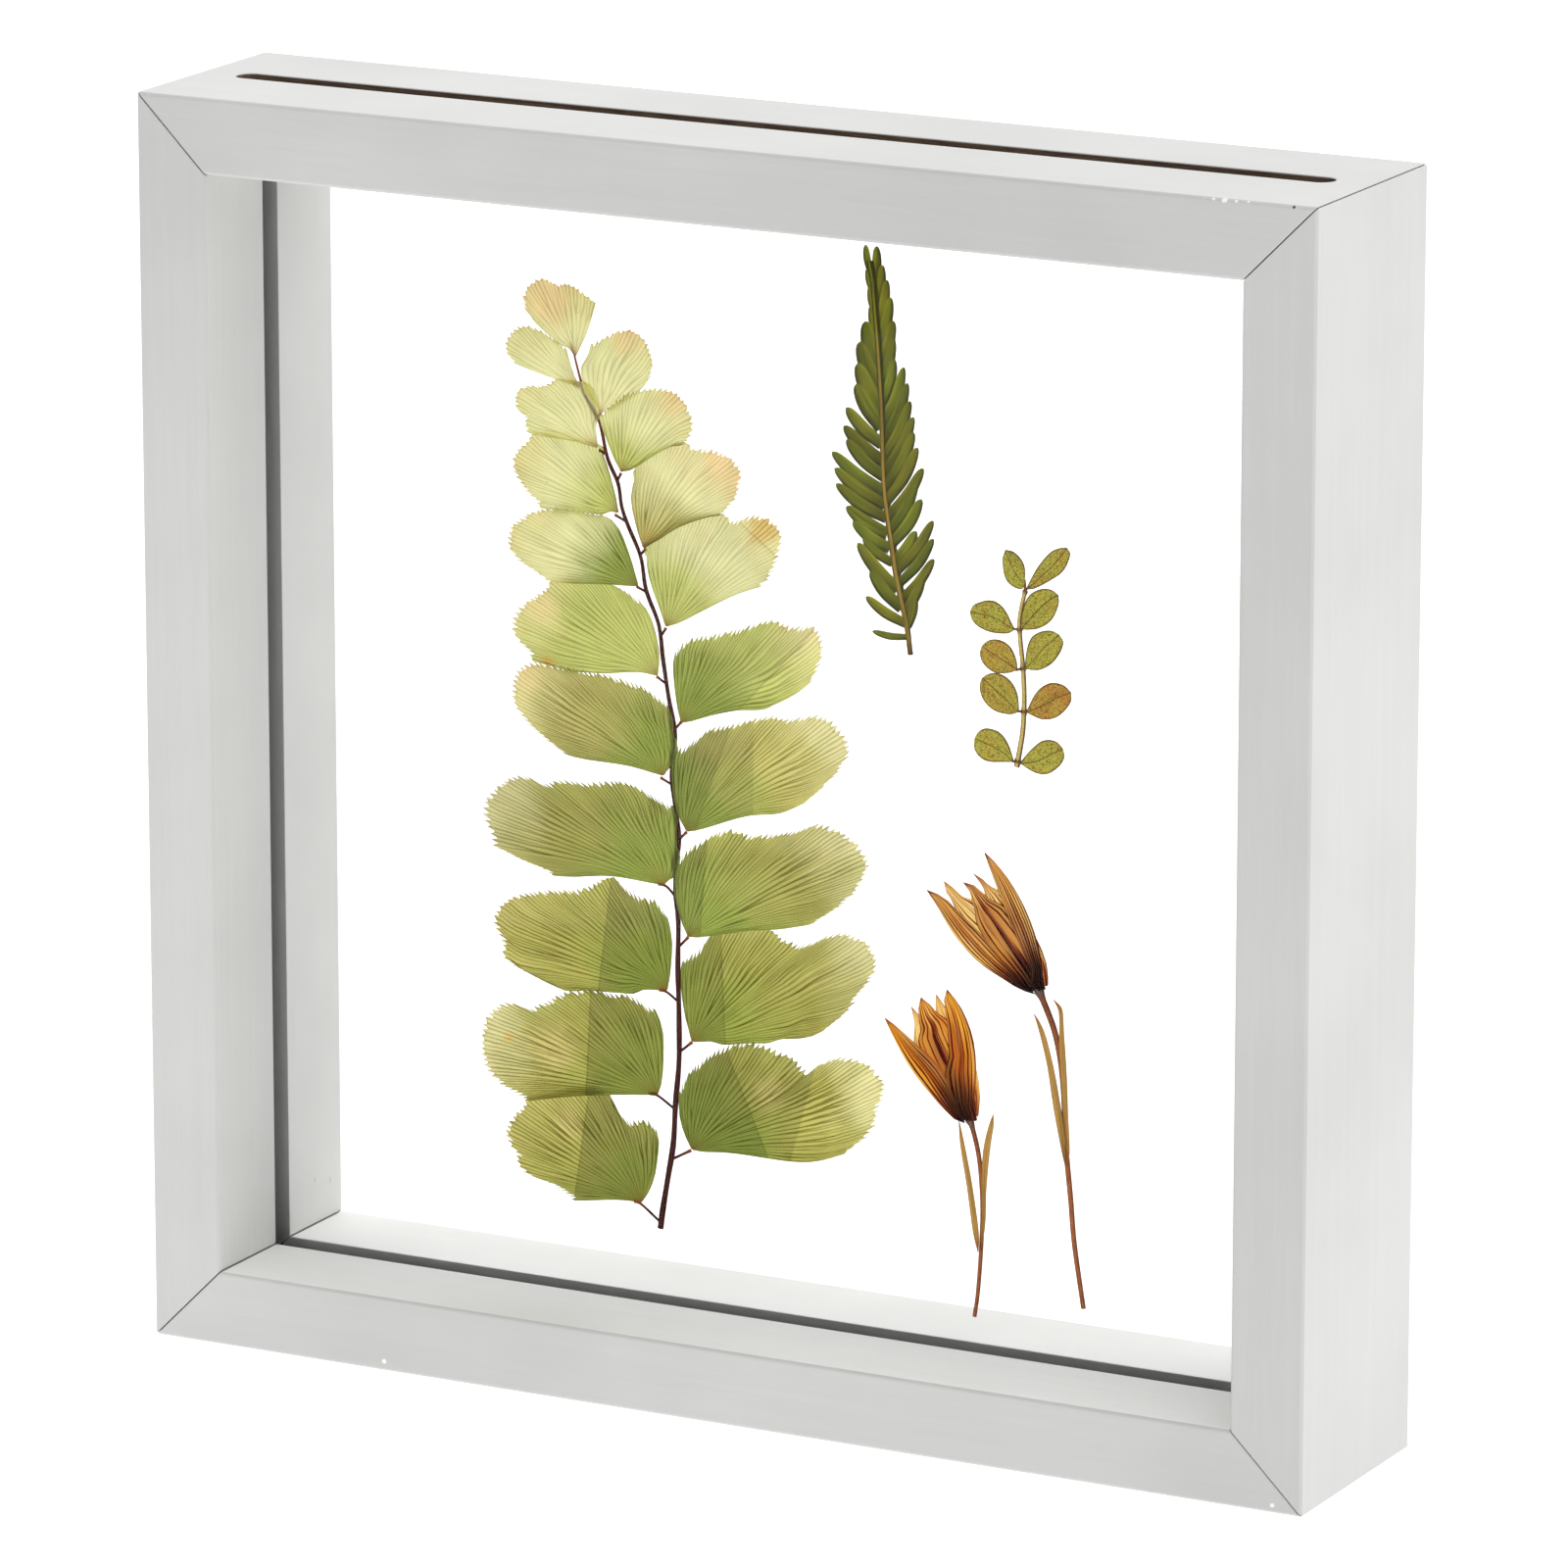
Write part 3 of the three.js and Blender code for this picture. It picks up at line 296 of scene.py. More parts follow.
class StageLook(bpy.types.PropertyGroup):
    """The camera and the light."""

    camera_place: FloatVectorProperty(
        name="Camera", description="Place of the camera", subtype="TRANSLATION", unit="LENGTH",
        size=3, default=(0.899738, -1.715652, 0.614155),
    )
    azimuth: FloatProperty(
        name="Azimuth", description="Turn of the view round the frame", subtype="ANGLE",
        default=math.radians(27.6),
    )
    elevation: FloatProperty(
        name="Elevation", description="Height of the view above the horizon", subtype="ANGLE",
        default=math.radians(14.26),
    )
    lens: FloatProperty(
        name="Lens", description="Focal length on a sensor 36 mm wide, in millimetres",
        default=238.98, min=1,
    )
    sky: FloatProperty(
        name="Surround", description="Strength of the even white light all round", default=0.1, min=0,
    )
    glow: FloatProperty(
        name="Glow", description="Strength of the broad soft lights", default=1.0, min=0,
    )
    fill: FloatProperty(
        name="Fill", description="Power of the soft fill light at the lower left, in watts",
        default=0.28, min=0,
    )
    fill_place: FloatVectorProperty(
        name="Fill from", description="Place of the fill light", subtype="TRANSLATION", unit="LENGTH",
        size=3, default=(-0.1, -0.32, 0.02),
    )


# ---------------------------------------------------------------- curves and outlines


def lengths(vectors):
    """Lengths of vectors, whose x and z stand on the last axis."""
    return np.hypot(vectors[..., 0], vectors[..., 1])


def unit(vectors):
    """The vectors at a length of one."""
    return vectors / lengths(vectors)[..., None]


def triples(a, b, c):
    """Three values for each point, where each is given as a number or as an array that spreads."""
    return np.stack(np.broadcast_arrays(a, b, c), -1)


def reach_along(line):
    """How far along a line each of its points is."""
    return np.concatenate([[0], np.cumsum(lengths(np.diff(line, axis=0)))])


def resampled(line, share):
    """Points at the given shares of a line's length."""
    reach = reach_along(line)
    at = np.asarray(share) * reach[-1]
    return np.stack([np.interp(at, reach, line[:, k]) for k in range(line.shape[1])], 1)


def smooth_line(points, share):
    """Points at the given shares of a smooth curve through the given points."""
    p = np.asarray(points, float)
    ends = np.vstack([2 * p[0] - p[1], p, 2 * p[-1] - p[-2]])
    t = np.linspace(0, len(p) - 1, 24 * (len(p) - 1) + 1)
    i = np.minimum(t.astype(int), len(p) - 2)
    f = (t - i)[:, None]
    a, b, c, d = (ends[i + k] for k in range(4))
    dense = b + 0.5 * f * (c - a + f * (2 * a - 5 * b + 4 * c - d + f * (3 * (b - c) + d - a)))
    return resampled(dense, share)


def length_of(line):
    """Length of a line through the given points."""
    return float(reach_along(np.asarray(line, float))[-1])


def cad_outline(node):
    """The outline of a flat solid of the frame seen from the front, clockwise, in millimetres."""
    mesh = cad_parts[node].data
    front = min(v.co.y for v in mesh.vertices)
    edges = set()
    for face in mesh.polygons:
        corners = [mesh.vertices[i].co for i in face.vertices]
        if max(c.y for c in corners) - front > 1e-6:
            continue
        ring = [(round(c.x / MM, 3), round(c.z / MM, 3)) for c in corners]
        for a, b in zip(ring, ring[1:] + ring[:1]):
            if (b, a) in edges:
                edges.discard((b, a))
            else:
                edges.add((a, b))
    following = dict(edges)
    outline = [min(following)]
    while following[outline[-1]] != outline[0]:
        outline.append(following[outline[-1]])
    if len(outline) != len(edges):
        raise RuntimeError(f"{node} has an outline of more than one ring")
    ring = np.array(outline)
    x, z = ring.T
    clockwise = np.dot(x, np.roll(z, -1)) - np.dot(z, np.roll(x, -1)) < 0
    return ring if clockwise else ring[::-1]


def cut_ring(ring, marks, values=None):
    """The runs of a ring, or of its values, between its points nearest to the marks."""
    at = [int(lengths(ring - mark).argmin()) for mark in marks]
    runs = []
    for start, end in zip(at, at[1:] + at[:1]):
        count = (end - start) % len(ring)
        runs.append((ring if values is None else values)[(start + np.arange(count + 1)) % len(ring)])
    return runs


def dense_ring(ring, step=0.4):
    """The ring with points at most a step apart."""
    closed = np.vstack([ring, ring[:1]])
    return resampled(closed, np.linspace(0, 1, int(length_of(closed) / step) + 1)[:-1])


def inside(points, ring):
    """Which points lie inside a ring."""
    x, z = points[:, :1], points[:, 1:]
    (ax, az), (bx, bz) = ring.T, np.roll(ring, -1, 0).T
    spans = (az > z) != (bz > z)
    with np.errstate(divide="ignore", invalid="ignore"):
        crosses = spans & (x < ax + (z - az) / (bz - az) * (bx - ax))
    return crosses.sum(1) % 2 == 1


def ease(low, high, value):
    """Rises smoothly from 0 at low to 1 at high."""
    t = np.clip((value - low) / (high - low), 0, 1)
    return t * t * (3 - 2 * t)


def dice(name):
    """A source of random numbers that is the same each time for a piece's name."""
    return np.random.default_rng(zlib.crc32(name.encode()))


def ripple(x, z, seed, pitch):
    """Soft unevenness between -1 and 1 across the plane, with waves about pitch long."""
    turns = dice(str(seed)).uniform(0, 2 * math.pi, (4, 2))
    total = 0
    for k, (direction, phase) in enumerate(turns):
        wave = 2 * math.pi / pitch * (0.7 + 0.25 * k)
        total = total + np.sin(wave * (x * math.cos(direction) + z * math.sin(direction)) + phase)
    return total / 4


def linear(colour):
    """A seen colour as light."""
    c = np.asarray(colour, float)
    return np.where(c <= 0.04045, c / 12.92, ((c + 0.055) / 1.055) ** 2.4)


def blend(a, b, share):
    """Colours between a and b."""
    share = np.asarray(share)[..., None]
    return np.asarray(a) * (1 - share) + np.asarray(b) * share


# ---------------------------------------------------------------- meshes

SHARP_FROM = 50            # an edge that turns by more degrees than this stays sharp


class Shape:
    """Collects sheets and tubes, in millimetres, and makes one piece of them.

    Every point has a tone, a grain (places across and along the fibres, and a seed), marks (distances
    in millimetres from the margin and from the middle vein, and the share of the length) and crease light
    (distances from two creases, and the strength of the painted light and shade beside them).
    """

    def __init__(self):
        self.points, self.faces = [], []
        self.kept = {"tone": [], "grain": [], "marks": [], "crease_light": []}
        self.count = 0

    def _take(self, points, *values):
        first = self.count
        self.count += len(points)
        self.points.append(points)
        for kept, given in zip(self.kept.values(), values):
            kept.append(np.broadcast_to(given, (len(points), 3)))
        return first

    def sheet(self, plan, depth, thickness, tone, grain, marks, crease_light=None):
        """A thin closed sheet. plan holds x and z on rows from the foot and columns to the right."""
        rows, columns = plan.shape[:2]
        layers = []
        for side in (-0.5, 0.5):
            layers.append(np.stack([plan[..., 0], depth + side * thickness, plan[..., 1]], -1))
        points = np.concatenate([layer.reshape(-1, 3) for layer in layers])
        crease_light = np.zeros(plan.shape[:2] + (3,)) if crease_light is None else crease_light
        doubled = [np.concatenate([v.reshape(-1, 3)] * 2) for v in (tone, grain, marks, crease_light)]
        first = self._take(points, *doubled)
        front = first + np.arange(rows * columns).reshape(rows, columns)
        back = front + rows * columns
        quads = np.stack([front[:-1, :-1], front[:-1, 1:], front[1:, 1:], front[1:, :-1]], -1).reshape(-1, 4)
        self.faces += quads.tolist()
        self.faces += (quads[:, ::-1] + rows * columns).tolist()
        rim = np.concatenate([front[0, :-1], front[:-1, -1], front[-1, :0:-1], front[:0:-1, 0]])
        after = np.roll(rim, -1)
        step = back[0, 0] - front[0, 0]
        self.faces += np.stack([after, rim, rim + step, after + step], 1).tolist()

    def tube(self, line, depth, widths, thicknesses, tone, seed=0.0, sides=10):
        """A closed stem along a line of x and z. Each value is one number or one for each point of it."""
        line = np.asarray(line, float)
        n = len(line)
        along = unit(np.gradient(line, axis=0))
        across = np.stack([-along[:, 1], along[:, 0]], 1)
        angle = np.arange(sides) * 2 * math.pi / sides
        w = np.broadcast_to(widths, n)[:, None] / 2 * np.cos(angle)
        t = np.broadcast_to(thicknesses, n)[:, None] / 2 * np.sin(angle)
        y = np.broadcast_to(depth, n)[:, None] + t
        ring = np.stack([line[:, :1] + across[:, :1] * w, y, line[:, 1:] + across[:, 1:] * w], -1)
        reach = reach_along(line)
        grain = triples(w, reach[:, None], seed)
        marks = triples(np.cos(angle), w, (reach / reach[-1])[:, None])
        tones = np.broadcast_to(np.asarray(tone).reshape(-1, 1, 3), (n, sides, 3))
        first = self._take(*(v.reshape(-1, 3) for v in (ring, tones, grain, marks)), 0.0)
        a = first + np.arange(n * sides).reshape(n, sides)
        b = np.roll(a, -1, axis=1)
        self.faces += np.stack([a[:-1], a[1:], b[1:], b[:-1]], -1).reshape(-1, 4).tolist()
        self.faces += [a[0].tolist(), a[-1, ::-1].tolist()]

    def piece(self, name, slot, material, *nodes):
        """Makes the piece, which stands for the given solids of the frame."""
        mesh = bpy.data.meshes.new(name)
        mesh.from_pydata((np.concatenate(self.points) * MM).tolist(), [], self.faces)
        tone = mesh.attributes.new("tone", "FLOAT_COLOR", "POINT")
        with_alpha = np.concatenate([np.concatenate(self.kept["tone"]), np.ones((self.count, 1))], 1)
        tone.data.foreach_set("color", with_alpha.ravel())
        for kind in ("grain", "marks", "crease_light"):
            values = mesh.attributes.new(kind, "FLOAT_VECTOR", "POINT")
            values.data.foreach_set("vector", np.concatenate(self.kept[kind]).ravel())
        mesh.shade_smooth()
        mesh.set_sharp_from_angle(angle=math.radians(SHARP_FROM))
        mesh.materials.append(material)
        place(bpy.data.objects.new(name, mesh), slot, *nodes)


def place(piece, slot, *nodes):
    """Puts a piece in the scene, on the body of the frame, in place of its solids."""
    bpy.context.scene.collection.objects.link(piece)
    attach(piece, BODY)
    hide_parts(*nodes)


# ---------------------------------------------------------------- materials


class Tree:
    """The nodes of a material. An input given as a socket is linked, and any other is set."""

    def __init__(self, material):
        material.use_nodes = True
        self.tree = material.node_tree
        self.tree.nodes.clear()
        self.material = material

    def add(self, kind, inputs=(), output=0, **settings):
        node = self.tree.nodes.new("ShaderNode" + kind)
        for key, value in settings.items():
            setattr(node, key, value)
        for key, value in dict(inputs).items():
            socket = node.inputs[key]
            if isinstance(value, bpy.types.NodeSocket):
                self.tree.links.new(value, socket)
            else:
                socket.default_value = value
        return node.outputs[output]

    def attribute(self, name, output="Vector"):
        return self.add("Attribute", output=output, attribute_name=name)

    def tone(self):
        return self.attribute("tone", "Color")

    def position(self):
        return self.add("TexCoord", output="Object")

    def math(self, operation, a, b=0.0):
        return self.add("Math", {0: a, 1: b}, operation=operation)

    def plus(self, a, b):
        return self.math("ADD", a, b)

    def minus(self, a, b):
        return self.math("SUBTRACT", a, b)

    def times(self, a, b):
        return self.math("MULTIPLY", a, b)

    def over(self, a, b):
        return self.math("DIVIDE", a, b)

    def absolute(self, a):
        return self.math("ABSOLUTE", a)

    def split(self, vector):
        node = self.tree.nodes.new("ShaderNodeSeparateXYZ")
        self.tree.links.new(vector, node.inputs[0])
        return tuple(node.outputs)

    def noise(self, vector, scale, detail, roughness=0.5):
        return self.add("TexNoise", {
            "Vector": vector, "Scale": scale, "Detail": detail, "Roughness": roughness})

    def streaks(self, vector, scale, detail, roughness=0.5):
        """Noise that is drawn out along the fibres: scale is its fineness along each axis."""
        scaled = self.add("Mapping", {"Vector": vector, "Scale": scale})
        return self.noise(scaled, 1.0, detail, roughness)

    def span(self, value, low, high, to_low=0.0, to_high=1.0):
        """Maps low..high to to_low..to_high smoothly."""
        return self.add("MapRange", {
            "Value": value, "From Min": low, "From Max": high, "To Min": to_low, "To Max": to_high},
            interpolation_type="SMOOTHSTEP")

    def mix(self, share, a, b, way="MIX"):
        node = self.tree.nodes.new("ShaderNodeMix")
        node.data_type = "RGBA"
        node.blend_type = way
        for socket, value in zip((node.inputs[0], node.inputs[6], node.inputs[7]), (share, a, b)):
            if isinstance(value, bpy.types.NodeSocket):
                self.tree.links.new(value, socket)
            elif socket == node.inputs[0]:
                socket.default_value = value
            else:
                socket.default_value = (*value, 1.0)
        return node.outputs[2]

    def tinted(self, share, colour, by):
        """The colour times another one, as far as the share says."""
        return self.mix(share, colour, by, "MULTIPLY")

    def face(self, colour, roughness, gloss, height, lift, distance):
        """An opaque face. lift and distance say how strongly and how deep its relief is."""
        relief = self.add("Bump", {"Height": height, "Strength": lift, "Distance": distance})
        return self.add("BsdfPrincipled", {
            "Base Color": colour, "Roughness": roughness, "Specular IOR Level": gloss, "Normal": relief})

    def surface(self, shader, kind="Material"):
        out = self.tree.nodes.new("ShaderNodeOutput" + kind)
        self.tree.links.new(shader, out.inputs["Surface"])
        return self.material


def grey(value):
    return (value, value, value)


# Chips and specks in the paint: x, y, z and radius in millimetres, and tone.
CHIPS = (
    ((-72.8, -24.5, 2.0), 0.55, 0.98), ((104, -24.5, 249.9), 0.5, 1.0), ((106.2, -24.5, 249.8), 0.7, 1.0),
    ((108.6, -24.5, 249.9), 0.5, 1.0), ((111, -24.4, 250), 0.45, 1.0), ((102.2, -24.5, 249.9), 0.35, 1.0),
    ((120.2, -24.3, 249.6), 0.35, 0.06), ((-82.4, -2.3, 250), 0.6, 0.25), ((119, -24.5, 1.6), 0.5, 0.98),
    ((61, -24.5, 15.2), 0.4, 0.97), ((-109.5, -24.5, 15.3), 0.45, 0.97),
)


def paint_material(name, look, along, painted_light=1.0):
    """Satin paint with brush marks that run along the rail, faint clouds and chips."""
    t = Tree(bpy.data.materials.new(name))
    where = t.position()
    scale = (60, 1900, 1900) if along == "X" else (1900, 1900, 60)
    marks = t.streaks(where, scale, 4.0, 0.7)
    broad = t.streaks(where, tuple(0.22 * s for s in scale), 3.0, 0.6)
    clouds = t.noise(where, 18.0, 3.0)
    grain = t.noise(where, 2600.0, 2.0)
    # painted_light makes the paint lighter: painted light on the inner faces of the rails.
    base = np.minimum(linear(look.paint) * painted_light, WHITEST_PAINT)
    light, dark = tuple(1.03 * base), tuple(0.955 * base)
    colour = t.mix(t.span(clouds, 0.3, 0.7), dark, light)
    colour = t.tinted(t.span(marks, 0.3, 0.7, look.brush_marks, 0.0), colour, grey(0.93))
    colour = t.tinted(t.span(broad, 0.35, 0.7, look.brush_marks, 0.0), colour, grey(0.95))
    for spot, radius, tone in CHIPS:
        centre = tuple(MM * c for c in spot)
        away = t.add("VectorMath", {0: where, 1: centre}, "Value", operation="DISTANCE")
        away = t.plus(away, t.times(grain, 0.5 * radius * MM))
        inside_chip = t.span(away, 0.9 * radius * MM, 1.3 * radius * MM, 1.0, 0.0)
        colour = t.mix(inside_chip, colour, grey(tone))
    rough = t.span(marks, 0.2, 0.8, 0.5, 0.66)
    height = t.plus(t.times(marks, 0.8), t.times(grain, 0.2))
    return t.surface(t.face(colour, rough, 0.3, height, 0.25, 0.0001))


def raw_material(name, look):
    """Bare, sawn board inside the slot."""
    t = Tree(bpy.data.materials.new(name))
    fibres = t.streaks(t.position(), (160, 2000, 2600), 4.0, 0.7)
    base = linear(look.raw_wood)
    colour = t.mix(t.span(fibres, 0.3, 0.7), tuple(base * 0.6), tuple(base * 1.3))
    return t.surface(t.face(colour, 0.85, 0.2, fibres, 0.5, 0.0002))


def pane_material(look):
    """Clear, smooth glass."""
    t = Tree(bpy.data.materials.new("clear_pane"))
    return t.surface(t.add("BsdfPrincipled", {
        "Base Color": (*linear(look.pane_tint), 1.0), "Roughness": 0.0, "IOR": look.pane_ior,
        "Transmission Weight": 1.0}))


def forked_veins(t, grain, share):
    """Veins that part twice between the foot and the margin, one apart at the margin.

    Gives the distance from the nearest vein, as a share of the distance between two of them there.
    """
    across = t.split(grain)[0]
    wander = t.streaks(grain, (0.45, 0.16, 1.0), 2.0)
    uneven = t.streaks(grain, (0.7, 0.02, 1.0), 1.0)
    across = t.plus(across, t.times(wander, 0.9))
    at = t.plus(share, t.times(t.minus(uneven, 0.5), 0.5))
    first = t.span(at, 0.14, 0.46)
    second = t.span(at, 0.46, 0.86, 0.0, 0.5)
    part = t.math("FRACT", t.over(across, 4.0))
    away = t.times(t.absolute(t.minus(part, 0.5)), 4.0)
    away = t.absolute(t.minus(away, first))
    away = t.absolute(t.minus(away, second))
    return t.times(away, t.plus(t.times(share, 0.8), 0.2))


def leaf_shader(t, colour, passes, roughness, gloss, height, lift, depth=0.5):
    """A thin leaf that is lit from both sides.

    passes is the share of the light that shines through, and depth how strongly the leaf colours it.
    """
    face = t.face(colour, roughness, gloss, height, lift, 0.00012)
    through = t.add("BsdfTranslucent", {"Color": t.add("Gamma", {"Color": colour, "Gamma": depth})})
    return t.surface(t.add("MixShader", {0: passes, 1: face, 2: through}))


def fern_material(name):
    """A faded, papery leaf with fine veins that fan out from its foot and fork."""
    t = Tree(bpy.data.materials.new(name))
    grain = t.attribute("grain")
    margin, _, share = t.split(t.attribute("marks"))
    where = t.position()
    vein = t.span(forked_veins(t, grain, share), 0.04, 0.27, 1.0, 0.0)
    strong = t.streaks(grain, (0.9, 0.05, 1.0), 2.0)
    vein = t.times(vein, t.span(strong, 0.3, 0.6, 0.55, 1.0))
    paleness = t.add("RGBToBW", {"Color": t.tone()})
    broad = t.streaks(grain, (0.25, 0.05, 1.0), 2.0)
    thread = t.streaks(grain, (2.6, 0.12, 1.0), 3.0, 0.65)
    patches = t.noise(where, 170.0, 3.0, 0.6)
    specks = t.noise(where, 2200.0, 2.0, 0.6)
    # Painted light and shade at the creases: the leaf is painted darker before a crease and brighter beyond
    # it.
    first, second, crease_light_strength = t.split(t.attribute("crease_light"))
    crease_light_and_shade = t.plus(t.span(first, -0.12, 0.12, -0.5, 0.5), t.span(second, -0.12, 0.12, -0.5, 0.5))
    colour = t.tinted(1.0, t.tone(), t.math("EXPONENT", t.times(crease_light_and_shade, crease_light_strength)))
    colour = t.tinted(t.span(broad, 0.35, 0.65, 0.0, 0.16), colour, (0.66, 0.7, 0.5))
    colour = t.tinted(t.span(thread, 0.4, 0.65, 0.0, 0.25), colour, (0.55, 0.58, 0.38))
    shown = t.times(vein, t.span(paleness, 0.4, 0.88, 1.0, 0.45))
    colour = t.tinted(shown, colour, (0.2, 0.17, 0.05))
    colour = t.tinted(t.span(patches, 0.5, 0.75, 0.0, 0.22), colour, (0.85, 0.66, 0.5))
    colour = t.tinted(t.span(specks, 0.66, 0.74, 0.0, 0.6), colour, (0.45, 0.3, 0.14))
    colour = t.tinted(t.span(margin, 0.05, 0.45, 0.4, 0.0), colour, (0.62, 0.45, 0.25))
    # A dark line along the first crease: partly the crease's own mark, partly painted shade in the fold.
    line = t.span(t.absolute(first), 0.0, 0.28, 0.5, 0.0)
    colour = t.tinted(line, colour, (0.35, 0.28, 0.12))
    height = t.plus(t.times(vein, 0.6), t.times(broad, 0.8))
    return leaf_shader(t, colour, 0.9, 0.6, 0.12, height, 0.3)


def leaf_material(name, passes, roughness, streak, vein, mottle, speckle=0.0, rim=0.0, midline=0.0,
                  dark=(0, 0, 0)):
    """A small dried leaf with streaks along its fibres.

    streak and vein darken along the grain and mottle in patches. speckle adds small spots, rim edges
    the margin and midline draws the middle vein, all three with the dark tone.
    """
    t = Tree(bpy.data.materials.new(name))
    grain = t.attribute("grain")
    margin, middle, _ = t.split(t.attribute("marks"))
    where = t.position()
    broad = t.streaks(grain, (0.3, 0.05, 1.0), 2.0)
    fine = t.streaks(grain, (1.0, 0.06, 1.0), 3.0, 0.6)
    spots = t.noise(where, 3000.0, 3.0, 0.7)
    patches = t.noise(where, 160.0, 3.0, 0.6)
    colour = t.tinted(t.span(broad, 0.3, 0.7, 0.0, streak), t.tone(), grey(0.55))
    colour = t.tinted(t.span(fine, 0.45, 0.65, 0.0, vein), colour, grey(0.3))
    colour = t.tinted(t.span(patches, 0.4, 0.7, 0.0, mottle), colour, (0.75, 0.62, 0.5))
    if speckle:
        colour = t.tinted(t.span(spots, 0.5, 0.62, 0.0, speckle), colour, dark)
    if rim:
        colour = t.tinted(t.span(margin, 0.12, 0.42, rim, 0.0), colour, dark)
    if midline:
        away = t.absolute(middle)
        colour = t.tinted(t.span(away, 0.06, 0.2, midline, 0.0), colour, dark)
    height = t.plus(fine, t.times(broad, 0.6))
    return leaf_shader(t, colour, passes, roughness, 0.1, height, 0.4)


def petal_material(name, look, streaked, midline):
    """A dried petal: clear amber with red-brown veins that run together at its foot and its tip.

    The veins add up as a density of dye, so that a weak one is orange and a strong one nearly black.
    """
    t = Tree(bpy.data.materials.new(name))
    grain = t.attribute("grain")
    margin, middle, share = t.split(t.attribute("marks"))
    half = t.plus(t.plus(t.absolute(middle), margin), 0.01)    # half the width of the petal here
    wander = t.streaks(grain, (0.3, 0.05, 1.0), 2.0)
    bold = t.streaks(grain, (0.9, 0.045, 1.0), 2.0)
    fine = t.streaks(grain, (3.2, 0.08, 1.0), 2.0, 0.6)
    across = t.plus(t.over(middle, half), t.times(t.minus(wander, 0.5), 0.6))
    part = t.math("FRACT", t.times(across, PETAL_VEINS))
    away = t.absolute(t.minus(part, 0.5))
    away = t.times(t.over(away, PETAL_VEINS), half)
    away = t.over(away, t.span(half, 0.4, 3.2, 0.3, 1.0))
    away = t.minus(away, t.span(share, 0.06, 0.45, 0.2, 0.0))
    vein = t.times(t.span(away, 0.07, 0.19, 2.6, 0.0), t.span(bold, 0.38, 0.5, 0.1, 1.0))
    dye = t.plus(vein, t.span(fine, 0.54, 0.68, 0.0, 0.35))
    dye = t.plus(dye, t.span(margin, 0.0, 0.25, 0.2, 0.0))
    dye = t.times(dye, t.span(share, 0.55, 1.0, streaked, 0.6 * streaked))
    dye = t.plus(dye, t.span(share, 0.03, 0.42, 0.55 * streaked, 0.0))
    if midline:
        away = t.absolute(t.minus(t.absolute(middle), 0.16))
        along = t.span(share, 0.7, 0.95, 1.6 * midline, 0.0)
        dye = t.plus(dye, t.times(t.span(away, 0.04, 0.2, 1.0, 0.0), along))
    clear = t.times(t.span(wander, 0.48, 0.6, 0.0, 0.5), t.span(share, 0.12, 0.4))
    colour = t.mix(clear, t.tone(), tuple(linear(look.pale_petal)))
    colour = t.tinted(1.0, colour, t.add("Gamma", {"Color": (*PETAL_DYE, 1.0), "Gamma": dye}))
    height = t.plus(t.times(bold, 0.8), fine)
    return leaf_shader(t, colour, 0.85, 0.5, 0.12, height, 0.5, depth=0.8)


def stem_material(name, roughness, streak, rim):
    """A dried stem: dark furrows along it, darker at its sides."""
    t = Tree(bpy.data.materials.new(name))
    grain = t.attribute("grain")
    across = t.absolute(t.split(t.attribute("marks"))[0])
    furrows = t.streaks(grain, (5.0, 0.35, 1.0), 3.0, 0.6)
    knots = t.streaks(grain, (1.0, 1.2, 1.0), 2.0)
    colour = t.tinted(t.span(furrows, 0.35, 0.65, 0.0, streak), t.tone(), grey(0.35))
    colour = t.tinted(t.span(knots, 0.5, 0.75, 0.0, 0.4), colour, (0.5, 0.3, 0.22))
    colour = t.tinted(t.span(across, 0.4, 0.66, 0.0, rim), colour, (0.16, 0.1, 0.05))
    return t.surface(t.face(colour, roughness, 0.12, furrows, 0.5, 0.0001))


# ---------------------------------------------------------------- frame and panes

OUTSIDE, BARE, INNER = range(3)              # the order of a rail's materials
INNER_PAINTED_LIGHT = {"X": 1.45, "Z": 1.16}       # painted light: the inner faces are painted lighter than the outer ones
WHITEST_PAINT = 0.93                         # the most light that the paint gives back

# In millimetres:
FRAME_MIDDLE = 125                           # height of the middle of the frame
OPENING_REACH = 111                          # from that middle to just past the inner faces
SLOT_MIDDLE = 0.4                            # depth of the middle of the slot
SLOT_REACH = (117.1, 2.85)                   # from there to just past the slot's ends and sides
NAIL_HOLES = ((13.2, 24.2), (19.2, 22.6))    # depth and height of the two in the left rail
NAIL_HOLE_RADIUS = 1.2                       # a little more than that of the holes
NAIL_HOLE_ENDS = (-115, -109.9)              # x past the bottom and past the mouth of the holes
DIMPLE = -110.1                              # x of the bottom of a hole once it is filled


def inner_faces(mesh):
    """Marks the faces that look into the opening of the frame."""
    for face in mesh.polygons:
        x, z = face.center.x, face.center.z - FRAME_MIDDLE * MM
        inward = -face.normal.x * x - face.normal.z * z
        far = max(abs(x), abs(z))
        if far < OPENING_REACH * MM and inward > 0.9 * far - 0.001:
            face.material_index = INNER


def slot_faces(mesh):
    """Marks the faces inside the slot of the top rail, which are bare."""
    low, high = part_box("top_rail")
    length, width = SLOT_REACH
    for face in mesh.polygons:
        x, y, z = face.center
        in_slot = abs(y - SLOT_MIDDLE * MM) < width * MM and abs(x) < length * MM
        deep = low.z + 0.4 * MM < z < high.z - 0.15 * MM
        if in_slot and deep and abs(face.normal.z) < 0.3:
            face.material_index = BARE


